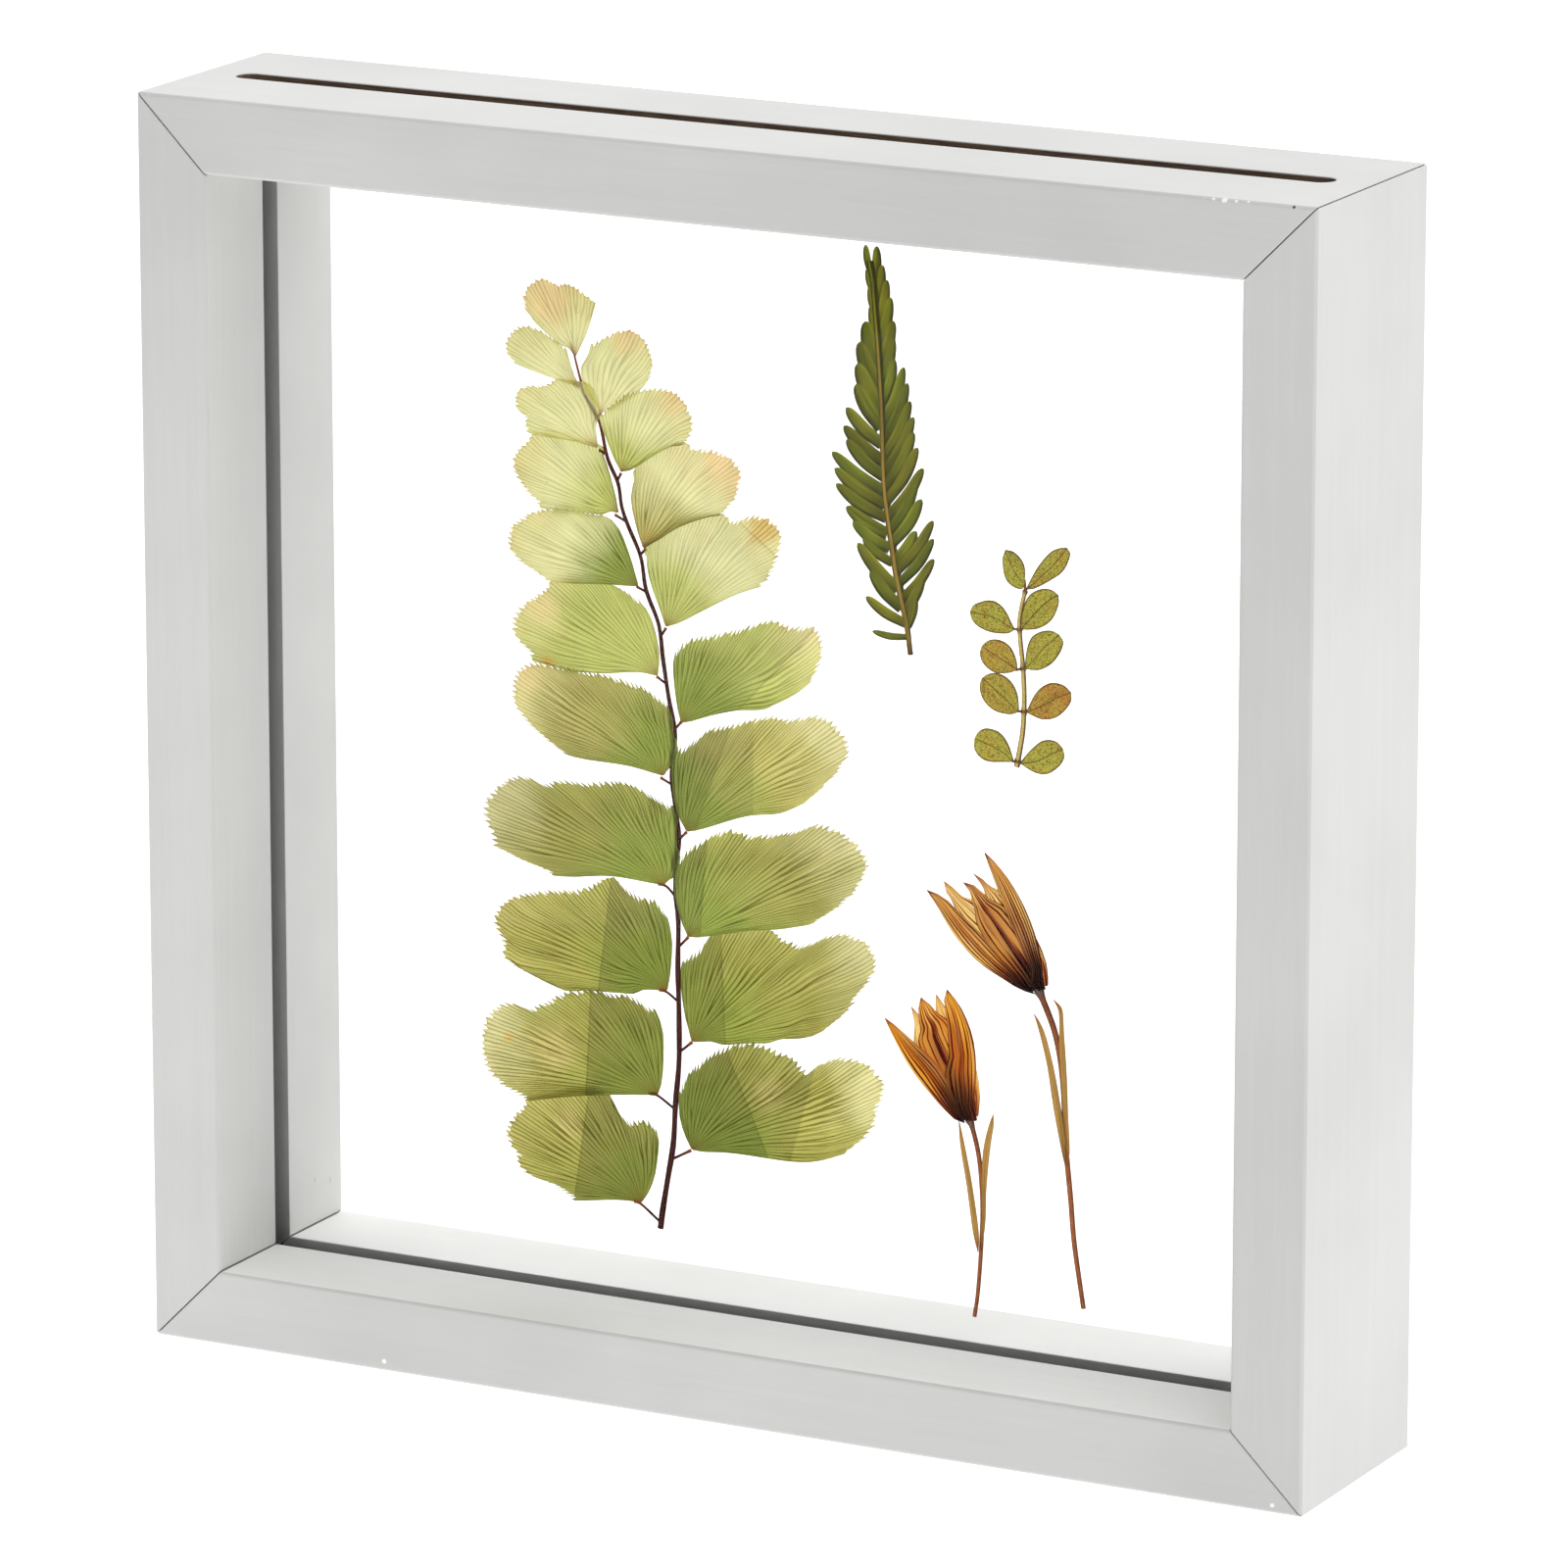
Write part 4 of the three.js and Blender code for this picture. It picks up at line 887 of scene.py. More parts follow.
def in_nail_hole(point):
    """Whether a point is in one of the two small nail holes of the left rail."""
    away = min(math.hypot(point.y / MM - y, point.z / MM - z) for y, z in NAIL_HOLES)
    low, high = NAIL_HOLE_ENDS
    return away < NAIL_HOLE_RADIUS and low * MM < point.x < high * MM


def fill_nail_holes(work):
    """Fills the nail holes, so that only dimples stay."""
    for vert in work.verts:
        if in_nail_hole(vert.co):
            vert.co.x = max(vert.co.x, DIMPLE * MM)


def is_arris(edge):
    """Whether an edge is a corner of the rail that is softened."""
    turns = len(edge.link_faces) == 2 and edge.calc_face_angle() > math.radians(30)
    return turns and not in_nail_hole(edge.verts[0].co)


def add_rail(node, look, materials):
    """The rail of the frame with softened arrises, and its paint inside, outside and in the slot."""
    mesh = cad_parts[node].data.copy()
    mesh.name = node + "_painted"
    work = bmesh.new()
    work.from_mesh(mesh)
    bmesh.ops.remove_doubles(work, verts=work.verts, dist=1e-6)
    bmesh.ops.dissolve_limit(work, angle_limit=math.radians(1), verts=work.verts, edges=work.edges)
    if node == "left_rail":
        fill_nail_holes(work)
    bmesh.ops.bevel(
        work, geom=[edge for edge in work.edges if is_arris(edge)], offset=look.arris * MM, segments=2,
        profile=0.5, affect="EDGES", clamp_overlap=True)
    bmesh.ops.triangulate(work, faces=[f for f in work.faces if len(f.verts) > 4])
    work.to_mesh(mesh)
    work.free()
    mesh.materials.clear()
    for material in materials:
        mesh.materials.append(material)
    mesh.polygons.foreach_set("material_index", [OUTSIDE] * len(mesh.polygons))
    inner_faces(mesh)
    if node == "top_rail":
        slot_faces(mesh)
    place(bpy.data.objects.new(mesh.name, mesh), "painted_frame", node)


class FLOWERFRAME_OT_rails(bpy.types.Operator):
    """Builds the four painted rails with softened arrises and the bare slot"""

    bl_idname = "flowerframe.rails"
    bl_label = "Rails"

    def execute(self, context):
        look = context.scene.flowerframe_frame
        bare = raw_material("bare_board", look)
        for axis, nodes in (("X", ("top_rail", "bottom_rail")), ("Z", ("left_rail", "right_rail"))):
            outside = paint_material("paint_along_" + axis, look, axis)
            # The inner faces get a lighter copy of the paint: painted light.
            inner = paint_material("inner_paint_along_" + axis, look, axis, INNER_PAINTED_LIGHT[axis])
            for node in nodes:
                add_rail(node, look, [outside, bare, inner])
        return {"FINISHED"}


class FLOWERFRAME_OT_panes(bpy.types.Operator):
    """Gives the two panes their clear glass"""

    bl_idname = "flowerframe.panes"
    bl_label = "Panes"

    def execute(self, context):
        glass = pane_material(context.scene.flowerframe_frame)
        for node in ("front_pane", "back_pane"):
            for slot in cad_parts[node].material_slots:
                slot.link = "OBJECT"
                slot.material = glass
        return {"FINISHED"}


# ---------------------------------------------------------------- fern

FOOT_ROWS = (0.006, 0.02, 0.04)                  # shares of the length at which the first rows lie
MARGIN_ROWS = (0, 0.25, 0.55, 0.95, 1.5, 2.3)    # distances of the last rows from the margin
ROW_STEP = 1.1             # distance between the rows in the middle of a leaflet
TOOTH_PITCH = (0.85, 1.5)  # least and greatest distance between two teeth of a leaflet
DEEPEST_CUT = 2            # how far a notch is cut back at most
TUCK = 1.0                 # how far a leaflet runs on under the one in front of it
STALK_MIDDLE = 0.4         # depth of the middle of the fern's midrib
NO_CREASE = (0.0,)
FAR_OFF = 9.0              # a distance at which a crease or a middle vein has no effect

# Places where a leaflet's edge spreads over the midrib: x, z, radius and how far it spreads.
SPREADS = {
    "left_2": [(-38.8, 192.6, 4.6, 2.2)],
    "right_1": [(-39, 197, 5.5, 1.3)],
}


def teeth(span, name, depth):
    """Places along the margin, as shares of it, and how far each is cut back: pointed teeth and notches."""
    random = dice(name)
    ends = [0.0]
    while ends[-1] < span:
        ends.append(ends[-1] + random.uniform(*TOOTH_PITCH))
    ends = np.array(ends) * span / ends[-1]
    at, cut = [], []
    for start, end in zip(ends, ends[1:]):
        deep = depth * random.uniform(0.45, 1.3)
        point = start + (end - start) * random.uniform(0.4, 0.6)
        at += [start, (start + point) / 2, point, (point + end) / 2]
        cut += [deep, 0.62 * deep, 0, 0.62 * deep]
    return np.array(at + [span]) / span, np.array(cut + [0.0])


def depth_of(node):
    """Depth of the middle of a flat solid."""
    low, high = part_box(node)
    return (low.y + high.y) / 2 / MM


def tucked_ring(node, foot, rings, move, reach, keep):
    """Runs an outline on a little under the pieces that lie in front of it.

    Points within reach of a piece in front are moved, save those within keep of the foot. Gives the
    moved outline and how far each of its points is covered, from 0 to 1.
    """
    ring = rings[node]
    covered = np.zeros(len(ring))
    for other, other_ring in rings.items():
        if depth_of(other) > depth_of(node) - 0.1:
            continue
        gap = lengths(ring[:, None] - other_ring[None]).min(1)
        gap = np.where(inside(ring, other_ring), 0, gap)
        covered = np.maximum(covered, ease(reach, 0.4 * reach, gap))
    covered = covered * ease(0.4 * keep, keep, lengths(ring - foot))
    return moved_ring(ring, covered * move), covered


def moved_ring(ring, move):
    """The ring with each point moved outwards."""
    along = unit(np.roll(ring, -2, 0) - np.roll(ring, 2, 0))
    return ring + np.stack([-along[:, 1], along[:, 0]], 1) * move[:, None]


def leaflet_grid(name, look, foot, first_corner, second_corner, rings):
    """Rows and columns of points that fan out from a leaflet's foot to its toothed margin.

    Gives the points, the share of the margin of each column, the share of the way from the foot of
    each row, and the length of the margin.
    """
    marks = (foot, first_corner, second_corner)
    ring = rings["fern_leaflet_" + name]
    moved, covered = tucked_ring("fern_leaflet_" + name, foot, rings, TUCK, reach=2.2, keep=4.0)
    for x, z, radius, amount in SPREADS.get(name, ()):
        gap = lengths(ring - (x, z))
        moved = moved_ring(moved, amount * ease(radius, radius * 0.3, gap))
    out, margin, home = cut_ring(ring, marks, moved)
    covered = cut_ring(ring, marks, covered)[1]
    home = home[::-1]
    span = length_of(margin)
    size = max(length_of(out), length_of(home))
    u, cut = teeth(span, name, look.tooth * (0.5 + 0.5 * ease(195, 130, foot[1])))
    body = np.arange(3.2, size * 0.93, ROW_STEP)
    v = np.concatenate([FOOT_ROWS, (1 - np.concatenate([MARGIN_ROWS, body]) / size)[::-1]])
    first_edge, second_edge = smooth_line(out, v)[:, None], smooth_line(home, v)[:, None]
    outer = smooth_line(margin, u)[None]
    across, outward = u[None, :, None], v[:, None, None]
    plan = (1 - across) * first_edge + across * second_edge
    plan = plan + outward * (outer - (1 - across) * outer[:, :1] - across * outer[:, -1:])
    hidden = np.interp(u, np.linspace(0, 1, len(covered)), covered)
    return cut_teeth(plan, u, v, margin, cut * (1 - hidden)), u, v, span


def cut_teeth(plan, u, v, margin, cut):
    """Draws the outer rows of a fan in along its rays, by the given cuts, but not at its corners."""
    after = smooth_line(margin, np.minimum(u + 0.02, 1))
    before = smooth_line(margin, np.maximum(u - 0.02, 0))
    along = unit(after - before)
    inward = np.stack([along[:, 1], -along[:, 0]], 1)
    rays = unit(plan[-1] - plan[-4])
    square = -(rays * inward).sum(1)
    cut = cut * ease(0.05, 0.3, square) / np.maximum(square, 0.4)
    ends = ease(0, 0.03, u) * ease(0, 0.03, 1 - u)
    hold = ease(1 - 4 / lengths(plan[-1] - plan[0])[None], 1, v[:, None])
    return plan - (hold * np.minimum(cut, DEEPEST_CUT) * ends)[..., None] * rays[None]


def crease_line(plan, foot, start, end):
    """Signed distance from a crease, more than zero beyond it, seen from the foot."""
    start = np.array(start)
    along = unit(np.array(end) - start)
    across = np.array([-along[1], along[0]])
    side = np.sign(np.dot(np.array(foot) - start, across))
    return -side * ((plan - start) @ across)


def leaflet_folds(name, plan, foot):
    """Distances from the leaflet's creases, and the strength of the painted light and shade beside them."""
    strength, *lines = CREASE_LIGHT.get(name, NO_CREASE)
    gaps = [crease_line(plan, foot, *line) for line in lines]
    gaps += [FAR_OFF, 0.0][len(gaps):]
    return triples(*gaps, np.full(plan.shape[:2], strength))


def leaflet_tones(name, look, plan, u, v, foot, tones):
    """The near tone at the foot, the middle tone, and the faded tone at the outer end."""
    near, middle, outer = (linear(getattr(look, tone)) for tone in tones)
    x, z = plan[..., 0], plan[..., 1]
    far = lengths(plan - foot)
    width = lengths(plan[:, -1] - plan[:, 0])[:, None]
    from_edge = np.minimum(u, 1 - u)[None] * width
    out = far / far.max() + 0.1 * ripple(x, z, name, 14) - 0.12 * np.exp(-from_edge / 2.5)
    colour = blend(near, middle, ease(0.12, 0.6, out))
    colour = blend(colour, outer, ease(0.6, 1.0, out))
    margin = (1 - v)[:, None] * far[-1][None]
    colour = blend(colour, linear(look.fresh_green), 0.3 * np.exp(-margin / 3) * ease(0.95, 0.6, out))
    bright = 1 + 0.06 * ripple(x, z, name + "tone", 7)
    for spot_x, spot_z, radius, tone, share in LEAF_SPOTS.get(name, ()):
        gap = lengths(plan - (spot_x, spot_z)) * (1 + 0.25 * ripple(x, z, name + "spot", 4))
        colour = blend(colour, linear(getattr(look, tone)), share * ease(radius, 0.3 * radius, gap))
    # Painted shadow along the second smooth edge, where the neighbour lies over the leaflet.
    if name in PAINTED_EDGE_SHADOW:
        bright = bright * (1 - 0.8 * PAINTED_EDGE_SHADOW[name] * np.exp(-(((1 - u)[None] * width / 0.45) ** 2)))
    near_foot = np.exp(-far / 1.3)
    return blend(colour * bright[..., None], linear(look.stalk_top), 0.8 * near_foot)


def add_leaflet(name, look, material, foot, first_corner, second_corner, tones, rings):
    """One leaflet of the fern, in slight waves, with its tones, veins and the painted light and shade of its
    creases.
    """
    node = "fern_leaflet_" + name
    plan, u, v, span = leaflet_grid(name, look, foot, first_corner, second_corner, rings)
    x, z = plan[..., 0], plan[..., 1]
    tone = leaflet_tones(name, look, plan, u, v, foot, tones)
    far = lengths(plan - foot)
    middle = depth_of(node)
    to_stalk = (STALK_MIDDLE - middle) * 0.7 * ease(3.0, 0.3, far)
    depth = middle + to_stalk + 0.05 * ripple(x, z, name + "wave", 16)
    margin = (1 - v)[:, None] * far[-1][None]
    thickness = look.thickness * (0.55 + 0.45 * ease(0, 1.2, margin))
    veins = u * span / look.vein_pitch
    grain = triples(veins[None], far, dice(name).uniform(0, 50))
    marks = triples(margin, FAR_OFF, v[:, None])
    shape = Shape()
    shape.sheet(plan, depth, thickness, tone, grain, marks, leaflet_folds(name, plan, foot))
    shape.piece(node + "_pressed", "fern_leaflet", material, node)


class FLOWERFRAME_OT_fern_leaflets(bpy.types.Operator):
    """Builds the fern's toothed leaflets, one piece each"""

    bl_idname = "flowerframe.fern_leaflets"
    bl_label = "Fern leaflets"

    def execute(self, context):
        look = context.scene.flowerframe_fern
        material = fern_material("fern_leaf")
        nodes = ["fern_leaflet_" + name for name in FERN_LEAFLETS]
        rings = {node: dense_ring(cad_outline(node)) for node in nodes}
        for name, (foot, first, second, tones) in FERN_LEAFLETS.items():
            add_leaflet(name, look, material, foot, first, second, tones, rings)
        return {"FINISHED"}


class FLOWERFRAME_OT_fern_stalk(bpy.types.Operator):
    """Builds the fern's midrib with the short stalks of its leaflets"""

    bl_idname = "flowerframe.fern_stalk"
    bl_label = "Fern midrib"

    def execute(self, context):
        look = context.scene.flowerframe_fern
        dark, young = linear(look.stalk), linear(look.stalk_top)
        share = np.linspace(0, 1, 260)
        shape = Shape()
        tone = blend(dark, young, ease(0.82, 1.0, share))
        width = (1.3 - 0.55 * share) * (1 + 0.06 * np.sin(share * 90)) * (1 - 0.5 * ease(0.93, 1, share))
        shape.tube(smooth_line(FERN_MIDRIB, share), STALK_MIDDLE, width, width * 0.55, tone)
        share = np.linspace(0, 1, 14)
        for number, points in enumerate(FERN_STALKS, 1):
            width = 0.55 + 0.15 * ease(0.6, 0.95, share)
            tone = blend(dark, young, ease(0.4, 1, share))
            shape.tube(smooth_line(points, share), STALK_MIDDLE, width, 0.36, tone, seed=float(number))
        material = stem_material("fern_stalk", roughness=0.5, streak=0.25, rim=0.0)
        shape.piece("fern_stalk_dried", "fern_stalk", material, "fern_stalk")
        return {"FINISHED"}


# ---------------------------------------------------------------- dark frond


def blade_plan(foot, tip, width, bow, rows, columns):
    """A narrow leaflet that bows outwards and ends in a round tip.

    Gives its points, its width at each row, the place of each column from -0.5 to 0.5, and the share
    of the length of each row.
    """
    foot, tip = np.array(foot), np.array(tip)
    along = tip - foot
    across = np.array([-along[1], along[0]])
    share = np.linspace(0, 1, rows)
    line = smooth_line([foot, foot + along * 0.5 + across * bow, tip], share)
    direction = unit(np.gradient(line, axis=0))
    side = np.stack([direction[:, 1], -direction[:, 0]], 1)
    wide = width * (0.8 + 0.2 * np.sin(math.pi * np.minimum(share * 0.85, 0.5)))
    wide = wide * np.sqrt(np.maximum(1 - share**5, 0.01))
    aside = np.linspace(-0.5, 0.5, columns)
    return line[:, None] + side[:, None] * (wide[:, None] * aside)[..., None], wide, aside, share


def add_frond_leaflet(shape, leaf, random, side, order, leaflet):
    """One leaflet of the dark frond, tilted like a roof tile under its lower neighbour."""
    foot, tip, width = leaflet[:2], leaflet[2:4], leaflet[4]
    width = width * (FROND_TOP_OVERLAP if width < 1.7 and foot[1] > 200 else FROND_OVERLAP)
    turn = 1 if side == "left" else -1
    plan, wide, aside, share = blade_plan(foot, tip, width, 0.05 * turn, *FROND_GRID)
    upper = (turn * aside)[None]
    depth = FROND_FRONT + 0.2 + FROND_LEDGE * order - 0.14 * upper - 0.05 * np.cos(upper * 2 * math.pi)
    own = leaf * random.uniform(0.8, 1.2) * np.array([random.uniform(0.92, 1.12), 1, 1])
    # Painted shadow on the lower part, where the next leaflet lies over it, and a painted highlight along
    # the upper margin; a thin dark line for the middle vein, and darker towards the foot.
    shade = 0.3 + 0.7 * ease(-0.4, -0.08, upper) + 0.45 * np.exp(-(((upper - 0.38) / 0.08) ** 2))
    shade = shade - 0.3 * np.exp(-(((upper - 0.12) / 0.035) ** 2))
    shade = shade * (0.62 + 0.5 * ease(0.0, 0.5, share))[:, None]
    far = share[:, None] * length_of([foot, tip])
    across = wide[:, None] * aside
    grain = triples(across * 3, far * 1.5, order + 20.0 * (1 + turn))
    marks = triples(wide[:, None] / 2 - np.abs(across), across, share[:, None])
    tone = own * shade[..., None]
    shape.sheet(plan, np.broadcast_to(depth, plan.shape[:2]), FROND_THICKNESS, tone, grain, marks)


class FLOWERFRAME_OT_dark_frond(bpy.types.Operator):
    """Builds the dark frond: a golden midrib with narrow leaflets that grow from it"""

    bl_idname = "flowerframe.dark_frond"
    bl_label = "Dark frond"

    def execute(self, context):
        look = context.scene.flowerframe_plants
        random = dice("dark_frond")
        leaf, rib = linear(look.frond), linear(look.frond_rib)
        shape = Shape()
        for side, leaflets in FROND_LEAFLETS.items():
            for above, leaflet in enumerate(leaflets):
                add_frond_leaflet(shape, leaf, random, side, len(leaflets) - 1 - above, leaflet)
        share = np.linspace(0, 1, 160)
        line = smooth_line(FROND_MIDRIB, share)
        width = 0.42 + 0.42 * share
        dark = leaf * 0.3
        shape.tube(line, FROND_FRONT + 0.5, width + 1.0 * ease(0.98, 0.85, share), 0.3, dark, seed=2.0)
        shape.tube(line, FROND_FRONT + 0.14, width + 0.25, 0.2, dark, seed=2.5)
        tone = blend(leaf * 1.2, rib, ease(0.0, 0.35, share))
        tone = blend(tone, linear(look.maroon), 0.7 * ease(0.95, 1, share))
        shape.tube(line, FROND_FRONT + 0.08, width, 0.3, tone, seed=3.0)
        material = leaf_material(
            "dark_frond", passes=0.15, roughness=0.55, streak=0.5, vein=0.6, mottle=0.3)
        shape.piece("dark_frond_pressed", "dark_frond", material, "dark_frond")
        return {"FINISHED"}


# ---------------------------------------------------------------- sprig and flowers


def far_ends(ring, foot=None):
    """The foot and the tip of a blade's outline: the given foot, or else the lower of its far ends."""
    if foot is None:
        gaps = lengths(ring[:, None] - ring[None])
        a, b = np.unravel_index(gaps.argmax(), gaps.shape)
        return (ring[a], ring[b]) if ring[a][1] < ring[b][1] else (ring[b], ring[a])
    return foot, ring[lengths(ring - foot).argmax()]


def blade_grid(ring, foot, tip, rows, columns):
    """Rows of points across a blade, from its foot to its tip, that keep to its outline."""
    first, second = cut_ring(ring, (foot, tip))
    share = 0.5 - 0.5 * np.cos(np.linspace(0.035, 1 - 0.02, rows) * math.pi)
    left, right = smooth_line(first, share)[:, None], smooth_line(second[::-1], share)[:, None]
    across = np.linspace(0, 1, columns)[None, :, None]
    return left * (1 - across) + right * across, share


def add_blade(node, slot, material, tone_at, rows, columns, fineness, foot=None, ring=None, bend=0.0):
    """A thin blade on the outline of its solid.

    tone_at gives its tones from the share of its length, the place across, x and z. fineness is that
    of its fibres, and bend how far its middle stands back. A foot and a ring take the place of the
    solid's own.
    """
    ring = cad_outline(node) if ring is None else ring
    foot, tip = far_ends(ring, foot)
    plan, share = blade_grid(ring, foot, tip, rows, columns)
    x, z = plan[..., 0], plan[..., 1]
    width = lengths(plan[:, -1] - plan[:, 0])[:, None]
    across = np.linspace(-0.5, 0.5, columns)[None]
    far = share[:, None] * lengths(tip - foot)
    depth = depth_of(node) + bend * (1 - 4 * across**2) + 0.03 * ripple(x, z, node, 9)
    grain = triples(across * width.max() * fineness, far, dice(node).uniform(0, 50))
    marks = triples((0.5 - np.abs(across)) * width, across * width, share[:, None])
    tone = tone_at(*np.broadcast_arrays(share[:, None], across), x, z)
    shape = Shape()
    shape.sheet(plan, depth, BLADE_THICKNESS, tone, grain, marks)
    shape.piece(node + "_pressed", slot, material, node)


def sprig_leaf_foot(ring, stem_line):
    """The point of a leaf's outline that is nearest to the stem, in its lower part."""
    stem_x = np.interp(ring[:, 1], stem_line[:, 1], stem_line[:, 0])
    low_part = ring[:, 1] < ring[:, 1].min() + 3
    return ring[np.where(low_part, np.abs(ring[:, 0] - stem_x), 99).argmin()]


def sprig_tones(look, node, browned):
    """Olive, as far browned as is said, a little more here and less there."""
    def tones(share, across, x, z):
        brown = np.clip(browned + 0.25 * ripple(x, z, node, 6), 0, 1)
        return blend(linear(look.sprig), linear(look.sprig_rust), brown)

    return tones


def add_leaf_stalk(shape, look, node, foot, stem_line, joint_z):
    """The short stalk from a joint of the sprig's stem to a leaf's foot, and on over the leaf."""
    start = np.array([np.interp(foot[1], stem_line[:, 1], stem_line[:, 0]), joint_z])
    end = foot + (foot - start) / max(0.5, length_of([start, foot])) * 0.4
    share = np.linspace(0, 1, 8)
    depth = STEM_MIDDLE - 0.1 + share * (depth_of(node) + 0.05 - (STEM_MIDDLE - 0.1))
    tone = blend(linear(look.maroon), linear(look.sprig_rust), 0.8 * share)
    shape.tube(np.linspace(start, end, 8), depth, 0.65 - 0.25 * share, 0.25, tone)


class FLOWERFRAME_OT_sprig(bpy.types.Operator):
    """Builds the sprig: its jointed stem and five pairs of small oval leaves"""

    bl_idname = "flowerframe.sprig"
    bl_label = "Sprig"

    def execute(self, context):
        look = context.scene.flowerframe_plants
        maroon = linear(look.maroon)
        share = np.linspace(0, 1, 180)
        line = smooth_line(SPRIG_STEM_LINE, share)
        joint = sum(np.exp(-(((line[:, 1] - z) / 0.45) ** 2)) for z in SPRIG_JOINTS)
        shape = Shape()
        width = (1.15 - 0.3 * share) * (1 + 0.4 * joint)
        tone = blend(linear(look.sprig_stem), maroon, np.clip(joint, 0, 1) * 0.75)
        shape.tube(line, STEM_MIDDLE, width, STEM_THICKNESS, tone, sides=12)

        leaf = leaf_material(
            "sprig_leaf", passes=0.15, roughness=0.65, streak=0.0, vein=0.25, mottle=0.35, speckle=0.85,
            rim=0.9, midline=0.75, dark=(0.26, 0.15, 0.05))
        for pair, joint_z in enumerate(reversed(SPRIG_JOINTS), 1):
            for side in ("left", "right"):
                node = f"sprig_leaf_{side}_{pair}"
                browned = BROWNED_LEAVES.get(f"{side}_{pair}", 0.06)
                foot = sprig_leaf_foot(cad_outline(node), line)
                add_blade(node, "sprig_leaf", leaf, sprig_tones(look, node, browned), rows=34, columns=25,
                          fineness=2.0, foot=foot, bend=-0.05)
                add_leaf_stalk(shape, look, node, foot, line, joint_z)
        material = stem_material("sprig_stem", roughness=0.6, streak=0.3, rim=0.95)
        shape.piece("sprig_stem_dried", "sprig_stem", material, "sprig_stem")
        return {"FINISHED"}


def add_flower_stem(look, flower, material):
    """A flower's stem, with the swelling that carries the petals at its top."""
    wide, thin = FLOWER_STEM_WIDTHS[flower]
    points = FLOWER_STEMS[flower]
    brown, maroon = linear(look.flower_stem), linear(look.maroon)
    share = np.concatenate([np.linspace(0, 0.12, 60), np.linspace(0.125, 1, 180)])
    line = smooth_line(points, share)
    below = share * length_of(points)
    swell = np.exp(-(((below - 1.3) / 1.3) ** 2))
    width = (wide + (thin - wide) * share) * 0.92 + RECEPTACLE_SWELL * swell
    width = width * (0.5 + 0.5 * ease(0, 0.8, below))
    tone = blend(brown, maroon, 0.5 * ease(0.35, 0.0, share) + 0.12 * np.sin(share * 60) ** 2)
    tone = blend(tone, linear(look.receptacle), 0.85 * ease(4.2, 1.8, below))
    shape = Shape()
    shape.tube(line, STEM_MIDDLE, width, STEM_THICKNESS * (1 + 0.3 * swell), tone, sides=14)
    shape.piece(f"{flower}_flower_stem_dried", "flower_stem", material, f"{flower}_flower_stem")


def petal_tones(look, flower, number):
    """Clear petals that darken to maroon at their foot, paler where they lie behind."""
    petal, maroon = linear(getattr(look, flower + "_petal")), linear(look.maroon)
    behind = number in BACK_PETALS
    paler = 0.75 if behind else 0.25 if number == MIDDLE_PETAL else 0.0
    own = blend(petal, linear(look.pale_petal), paler)
    dark_to = PETAL_FEET[flower] * (0.6 if behind else 1.0)

    def tones(share, across, x, z):
        uneven = 0.06 * ripple(x, z, flower + str(number), 5)
        return blend(own, maroon, 0.25 * ease(dark_to, 0.03, share + 0.1 * np.abs(across) + uneven))

    return tones


def petal_ring(node, rings):
    """A petal's outline, run on under the petals in front of it but not at its tip, and its foot."""
    foot, tip = far_ends(rings[node])
    moved = tucked_ring(node, foot, rings, 1.5, reach=3.0, keep=1.0)[0]
    free = ease(8, 3, lengths(rings[node] - tip))[:, None]
    ring = moved * (1 - free) + rings[node] * free
    return ring, ring[lengths(rings[node] - foot).argmin()]


def narrow_leaf_tones(look):
    """Olive tan, red-brown at both ends."""
    def tones(share, across, x, z):
        ends = 0.5 * ease(0.2, 0.0, share) + 0.25 * ease(0.85, 1, share)
        return blend(linear(look.bract), linear(look.rust), ends)

    return tones


class FLOWERFRAME_OT_flowers(bpy.types.Operator):
    """Builds the two flowers: stems, petals and their narrow leaves"""

    bl_idname = "flowerframe.flowers"
    bl_label = "Flowers"

    def execute(self, context):
        look = context.scene.flowerframe_plants
        stem = stem_material("flower_stem", roughness=0.6, streak=0.4, rim=0.4)
        narrow = leaf_material(
            "narrow_leaf", passes=0.35, roughness=0.6, streak=0.25, vein=0.35, mottle=0.12, rim=0.35,
            midline=0.35, dark=(0.5, 0.3, 0.14))
        for flower in FLOWER_STEMS:
            add_flower_stem(look, flower, stem)
            strength = PETAL_STREAKS[flower]
            front = petal_material(flower + "_petal", look, strength, 0.35)
            middle = petal_material(flower + "_middle_petal", look, 0.8 * strength, 0.9)
            back = petal_material(flower + "_back_petal", look, 0.45 * strength, 0.0)
            nodes = [f"{flower}_flower_petal_{number}" for number in range(1, 6)]
            rings = {node: dense_ring(cad_outline(node), 0.3) for node in nodes}
            for number, node in enumerate(nodes, 1):
                material = middle if number == MIDDLE_PETAL else back if number in BACK_PETALS else front
                ring, foot = petal_ring(node, rings)
                add_blade(node, flower + "_petal", material, petal_tones(look, flower, number), rows=70,
                          columns=21, fineness=1.6, foot=foot, ring=ring)
            for side in ("left", "right"):
                add_blade(f"{flower}_flower_leaf_{side}", "flower_leaf", narrow, narrow_leaf_tones(look),
                          rows=80, columns=9, fineness=3.0)
        return {"FINISHED"}


# ---------------------------------------------------------------- stage

# The broad soft lights: the direction of the middle of each and its strength.
GLOWS = (((0.62, 0.35, 0.70), 1.36), ((-0.5, 0.8, 0.3), 1.06), ((0, 0, 1), 0.82))
FLOOR_HALF = 5.0           # half the side of the floor, in metres
FILL_SIZE = 0.25           # across the fill light, in metres
FILL_AIM = (0, 0, 0.04)    # what the fill light points at, in metres


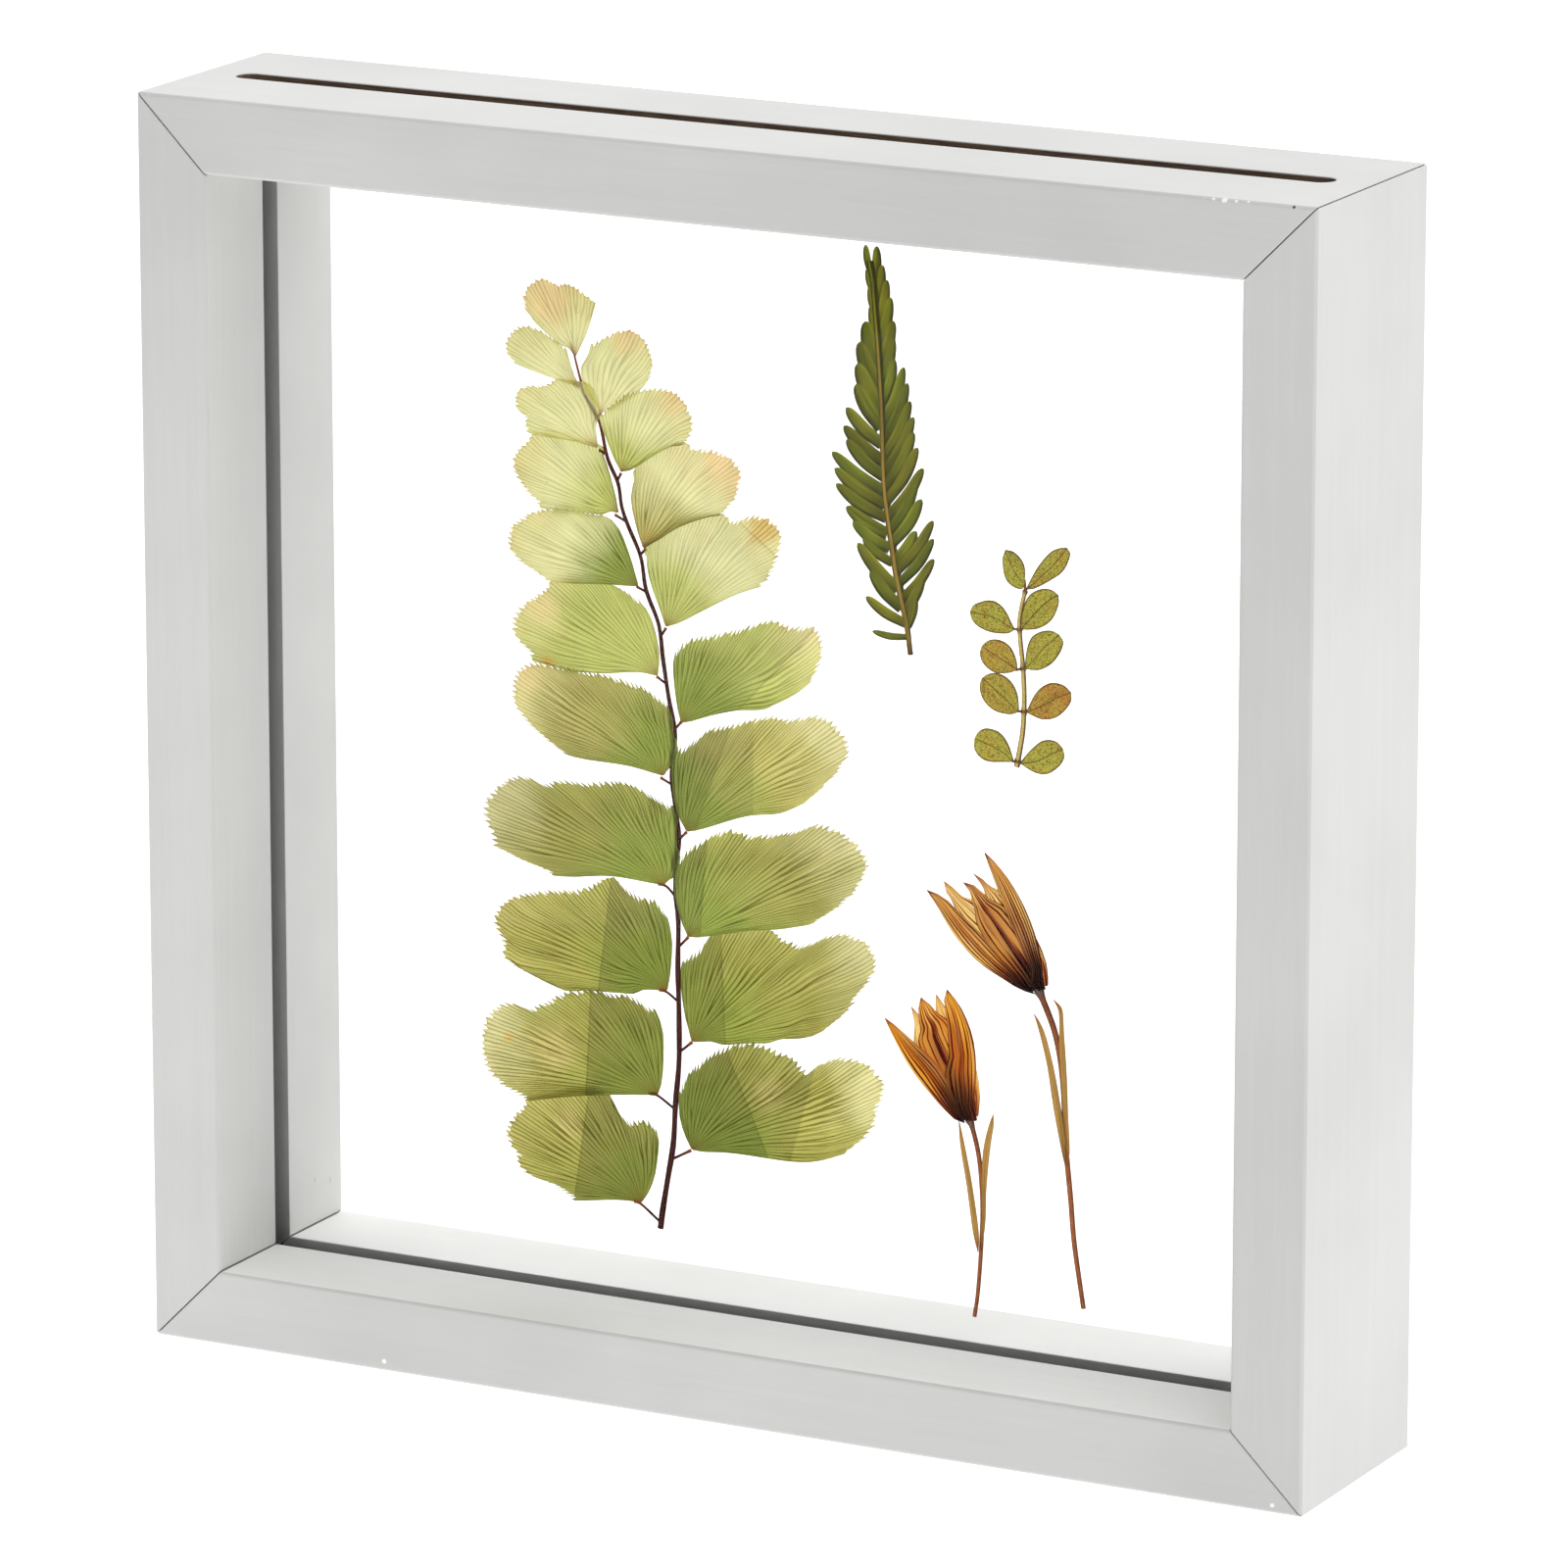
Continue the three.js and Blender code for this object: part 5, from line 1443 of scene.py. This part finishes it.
def add_surround(scene, look):
    """An even white light all round, with a few broad soft lights in it."""
    world = bpy.data.worlds.new("surround")
    scene.world = world
    t = Tree(world)
    direction = t.add("TexCoord", output="Generated")
    strength = look.sky
    for middle, part in GLOWS:
        middle = Vector(middle).normalized()
        lobe = t.add("VectorMath", {0: direction, 1: middle}, "Value", operation="DOT_PRODUCT")
        lobe = t.math("POWER", t.math("MAXIMUM", lobe, 0.0), 2.0)
        strength = t.plus(t.times(lobe, part * look.glow), strength)
    t.surface(t.add("Background", {"Color": (1, 1, 1, 1), "Strength": strength}), "World")


def add_floor(scene):
    """A plain white floor."""
    mesh = bpy.data.meshes.new("floor")
    corners = [(x * FLOOR_HALF, y * FLOOR_HALF, 0) for x, y in ((-1, -1), (1, -1), (1, 1), (-1, 1))]
    mesh.from_pydata(corners, [], [(0, 1, 2, 3)])
    floor = bpy.data.objects.new("floor", mesh)
    scene.collection.objects.link(floor)
    t = Tree(bpy.data.materials.new("white_floor"))
    mesh.materials.append(t.surface(t.add("BsdfPrincipled", {
        "Base Color": (0.15, 0.15, 0.15, 1), "Roughness": 0.9, "Specular IOR Level": 0.0,
        "Emission Color": (1, 1, 1, 1), "Emission Strength": 1.2})))


def add_fill_light(scene, look):
    """A soft round light from the lower left."""
    light = bpy.data.objects.new("fill_light", bpy.data.lights.new("fill_light", "AREA"))
    light.data.shape = "DISK"
    light.data.size = FILL_SIZE
    light.data.energy = look.fill
    light.location = look.fill_place
    aim = Vector(FILL_AIM) - light.location
    light.rotation_euler = aim.to_track_quat("-Z", "Y").to_euler()
    scene.collection.objects.link(light)


def add_camera(scene, look):
    """The camera, at its place and turned as its azimuth and elevation say."""
    camera = bpy.data.objects.new("camera", bpy.data.cameras.new("camera"))
    camera.data.sensor_width = 36.0
    camera.data.lens = look.lens
    camera.data.clip_start = 0.05
    camera.data.clip_end = 50
    a, e = look.azimuth, look.elevation
    forward = Vector((-math.sin(a) * math.cos(e), math.cos(a) * math.cos(e), -math.sin(e)))
    turn = forward.to_track_quat("-Z", "Y").to_matrix().to_4x4()
    camera.matrix_world = Matrix.Translation(Vector(look.camera_place)) @ turn
    scene.collection.objects.link(camera)
    scene.camera = camera


class FLOWERFRAME_OT_stage(bpy.types.Operator):
    """Sets up the pale floor, the soft light and the camera"""

    bl_idname = "flowerframe.stage"
    bl_label = "Stage"

    def execute(self, context):
        scene = context.scene
        look = scene.flowerframe_stage
        scene.view_settings.view_transform = "Standard"
        scene.view_settings.look = "None"
        add_surround(scene, look)
        add_floor(scene)
        add_fill_light(scene, look)
        add_camera(scene, look)
        return {"FINISHED"}


# ---------------------------------------------------------------- the add-on

STEPS = (
    FLOWERFRAME_OT_stage,
    FLOWERFRAME_OT_rails,
    FLOWERFRAME_OT_panes,
    FLOWERFRAME_OT_fern_leaflets,
    FLOWERFRAME_OT_fern_stalk,
    FLOWERFRAME_OT_dark_frond,
    FLOWERFRAME_OT_sprig,
    FLOWERFRAME_OT_flowers,
)
SETTINGS = {
    "flowerframe_frame": FrameLook,
    "flowerframe_fern": FernLook,
    "flowerframe_plants": PlantLook,
    "flowerframe_stage": StageLook,
}


class FLOWERFRAME_PT_panel(bpy.types.Panel):
    """Lists the settings and the steps"""

    bl_idname = "FLOWERFRAME_PT_panel"
    bl_label = "Pressed flower frame"
    bl_space_type = "VIEW_3D"
    bl_region_type = "UI"
    bl_category = "Flower frame"

    def draw(self, context):
        for name, group in SETTINGS.items():
            box = self.layout.box()
            settings = getattr(context.scene, name)
            for key in group.__annotations__:
                box.prop(settings, key)
        for step in STEPS:
            self.layout.operator(step.bl_idname)


def register():
    for group in SETTINGS.values():
        bpy.utils.register_class(group)
    for step in STEPS:
        bpy.utils.register_class(step)
    bpy.utils.register_class(FLOWERFRAME_PT_panel)
    for name, group in SETTINGS.items():
        setattr(bpy.types.Scene, name, PointerProperty(type=group))


def unregister():
    for name in SETTINGS:
        delattr(bpy.types.Scene, name)
    bpy.utils.unregister_class(FLOWERFRAME_PT_panel)
    for step in reversed(STEPS):
        bpy.utils.unregister_class(step)
    for group in reversed(SETTINGS.values()):
        bpy.utils.unregister_class(group)


def main():
    register()
    for step in STEPS:
        category, name = step.bl_idname.split(".")
        getattr(getattr(bpy.ops, category), name)()


if __name__ == "__main__":
    main()
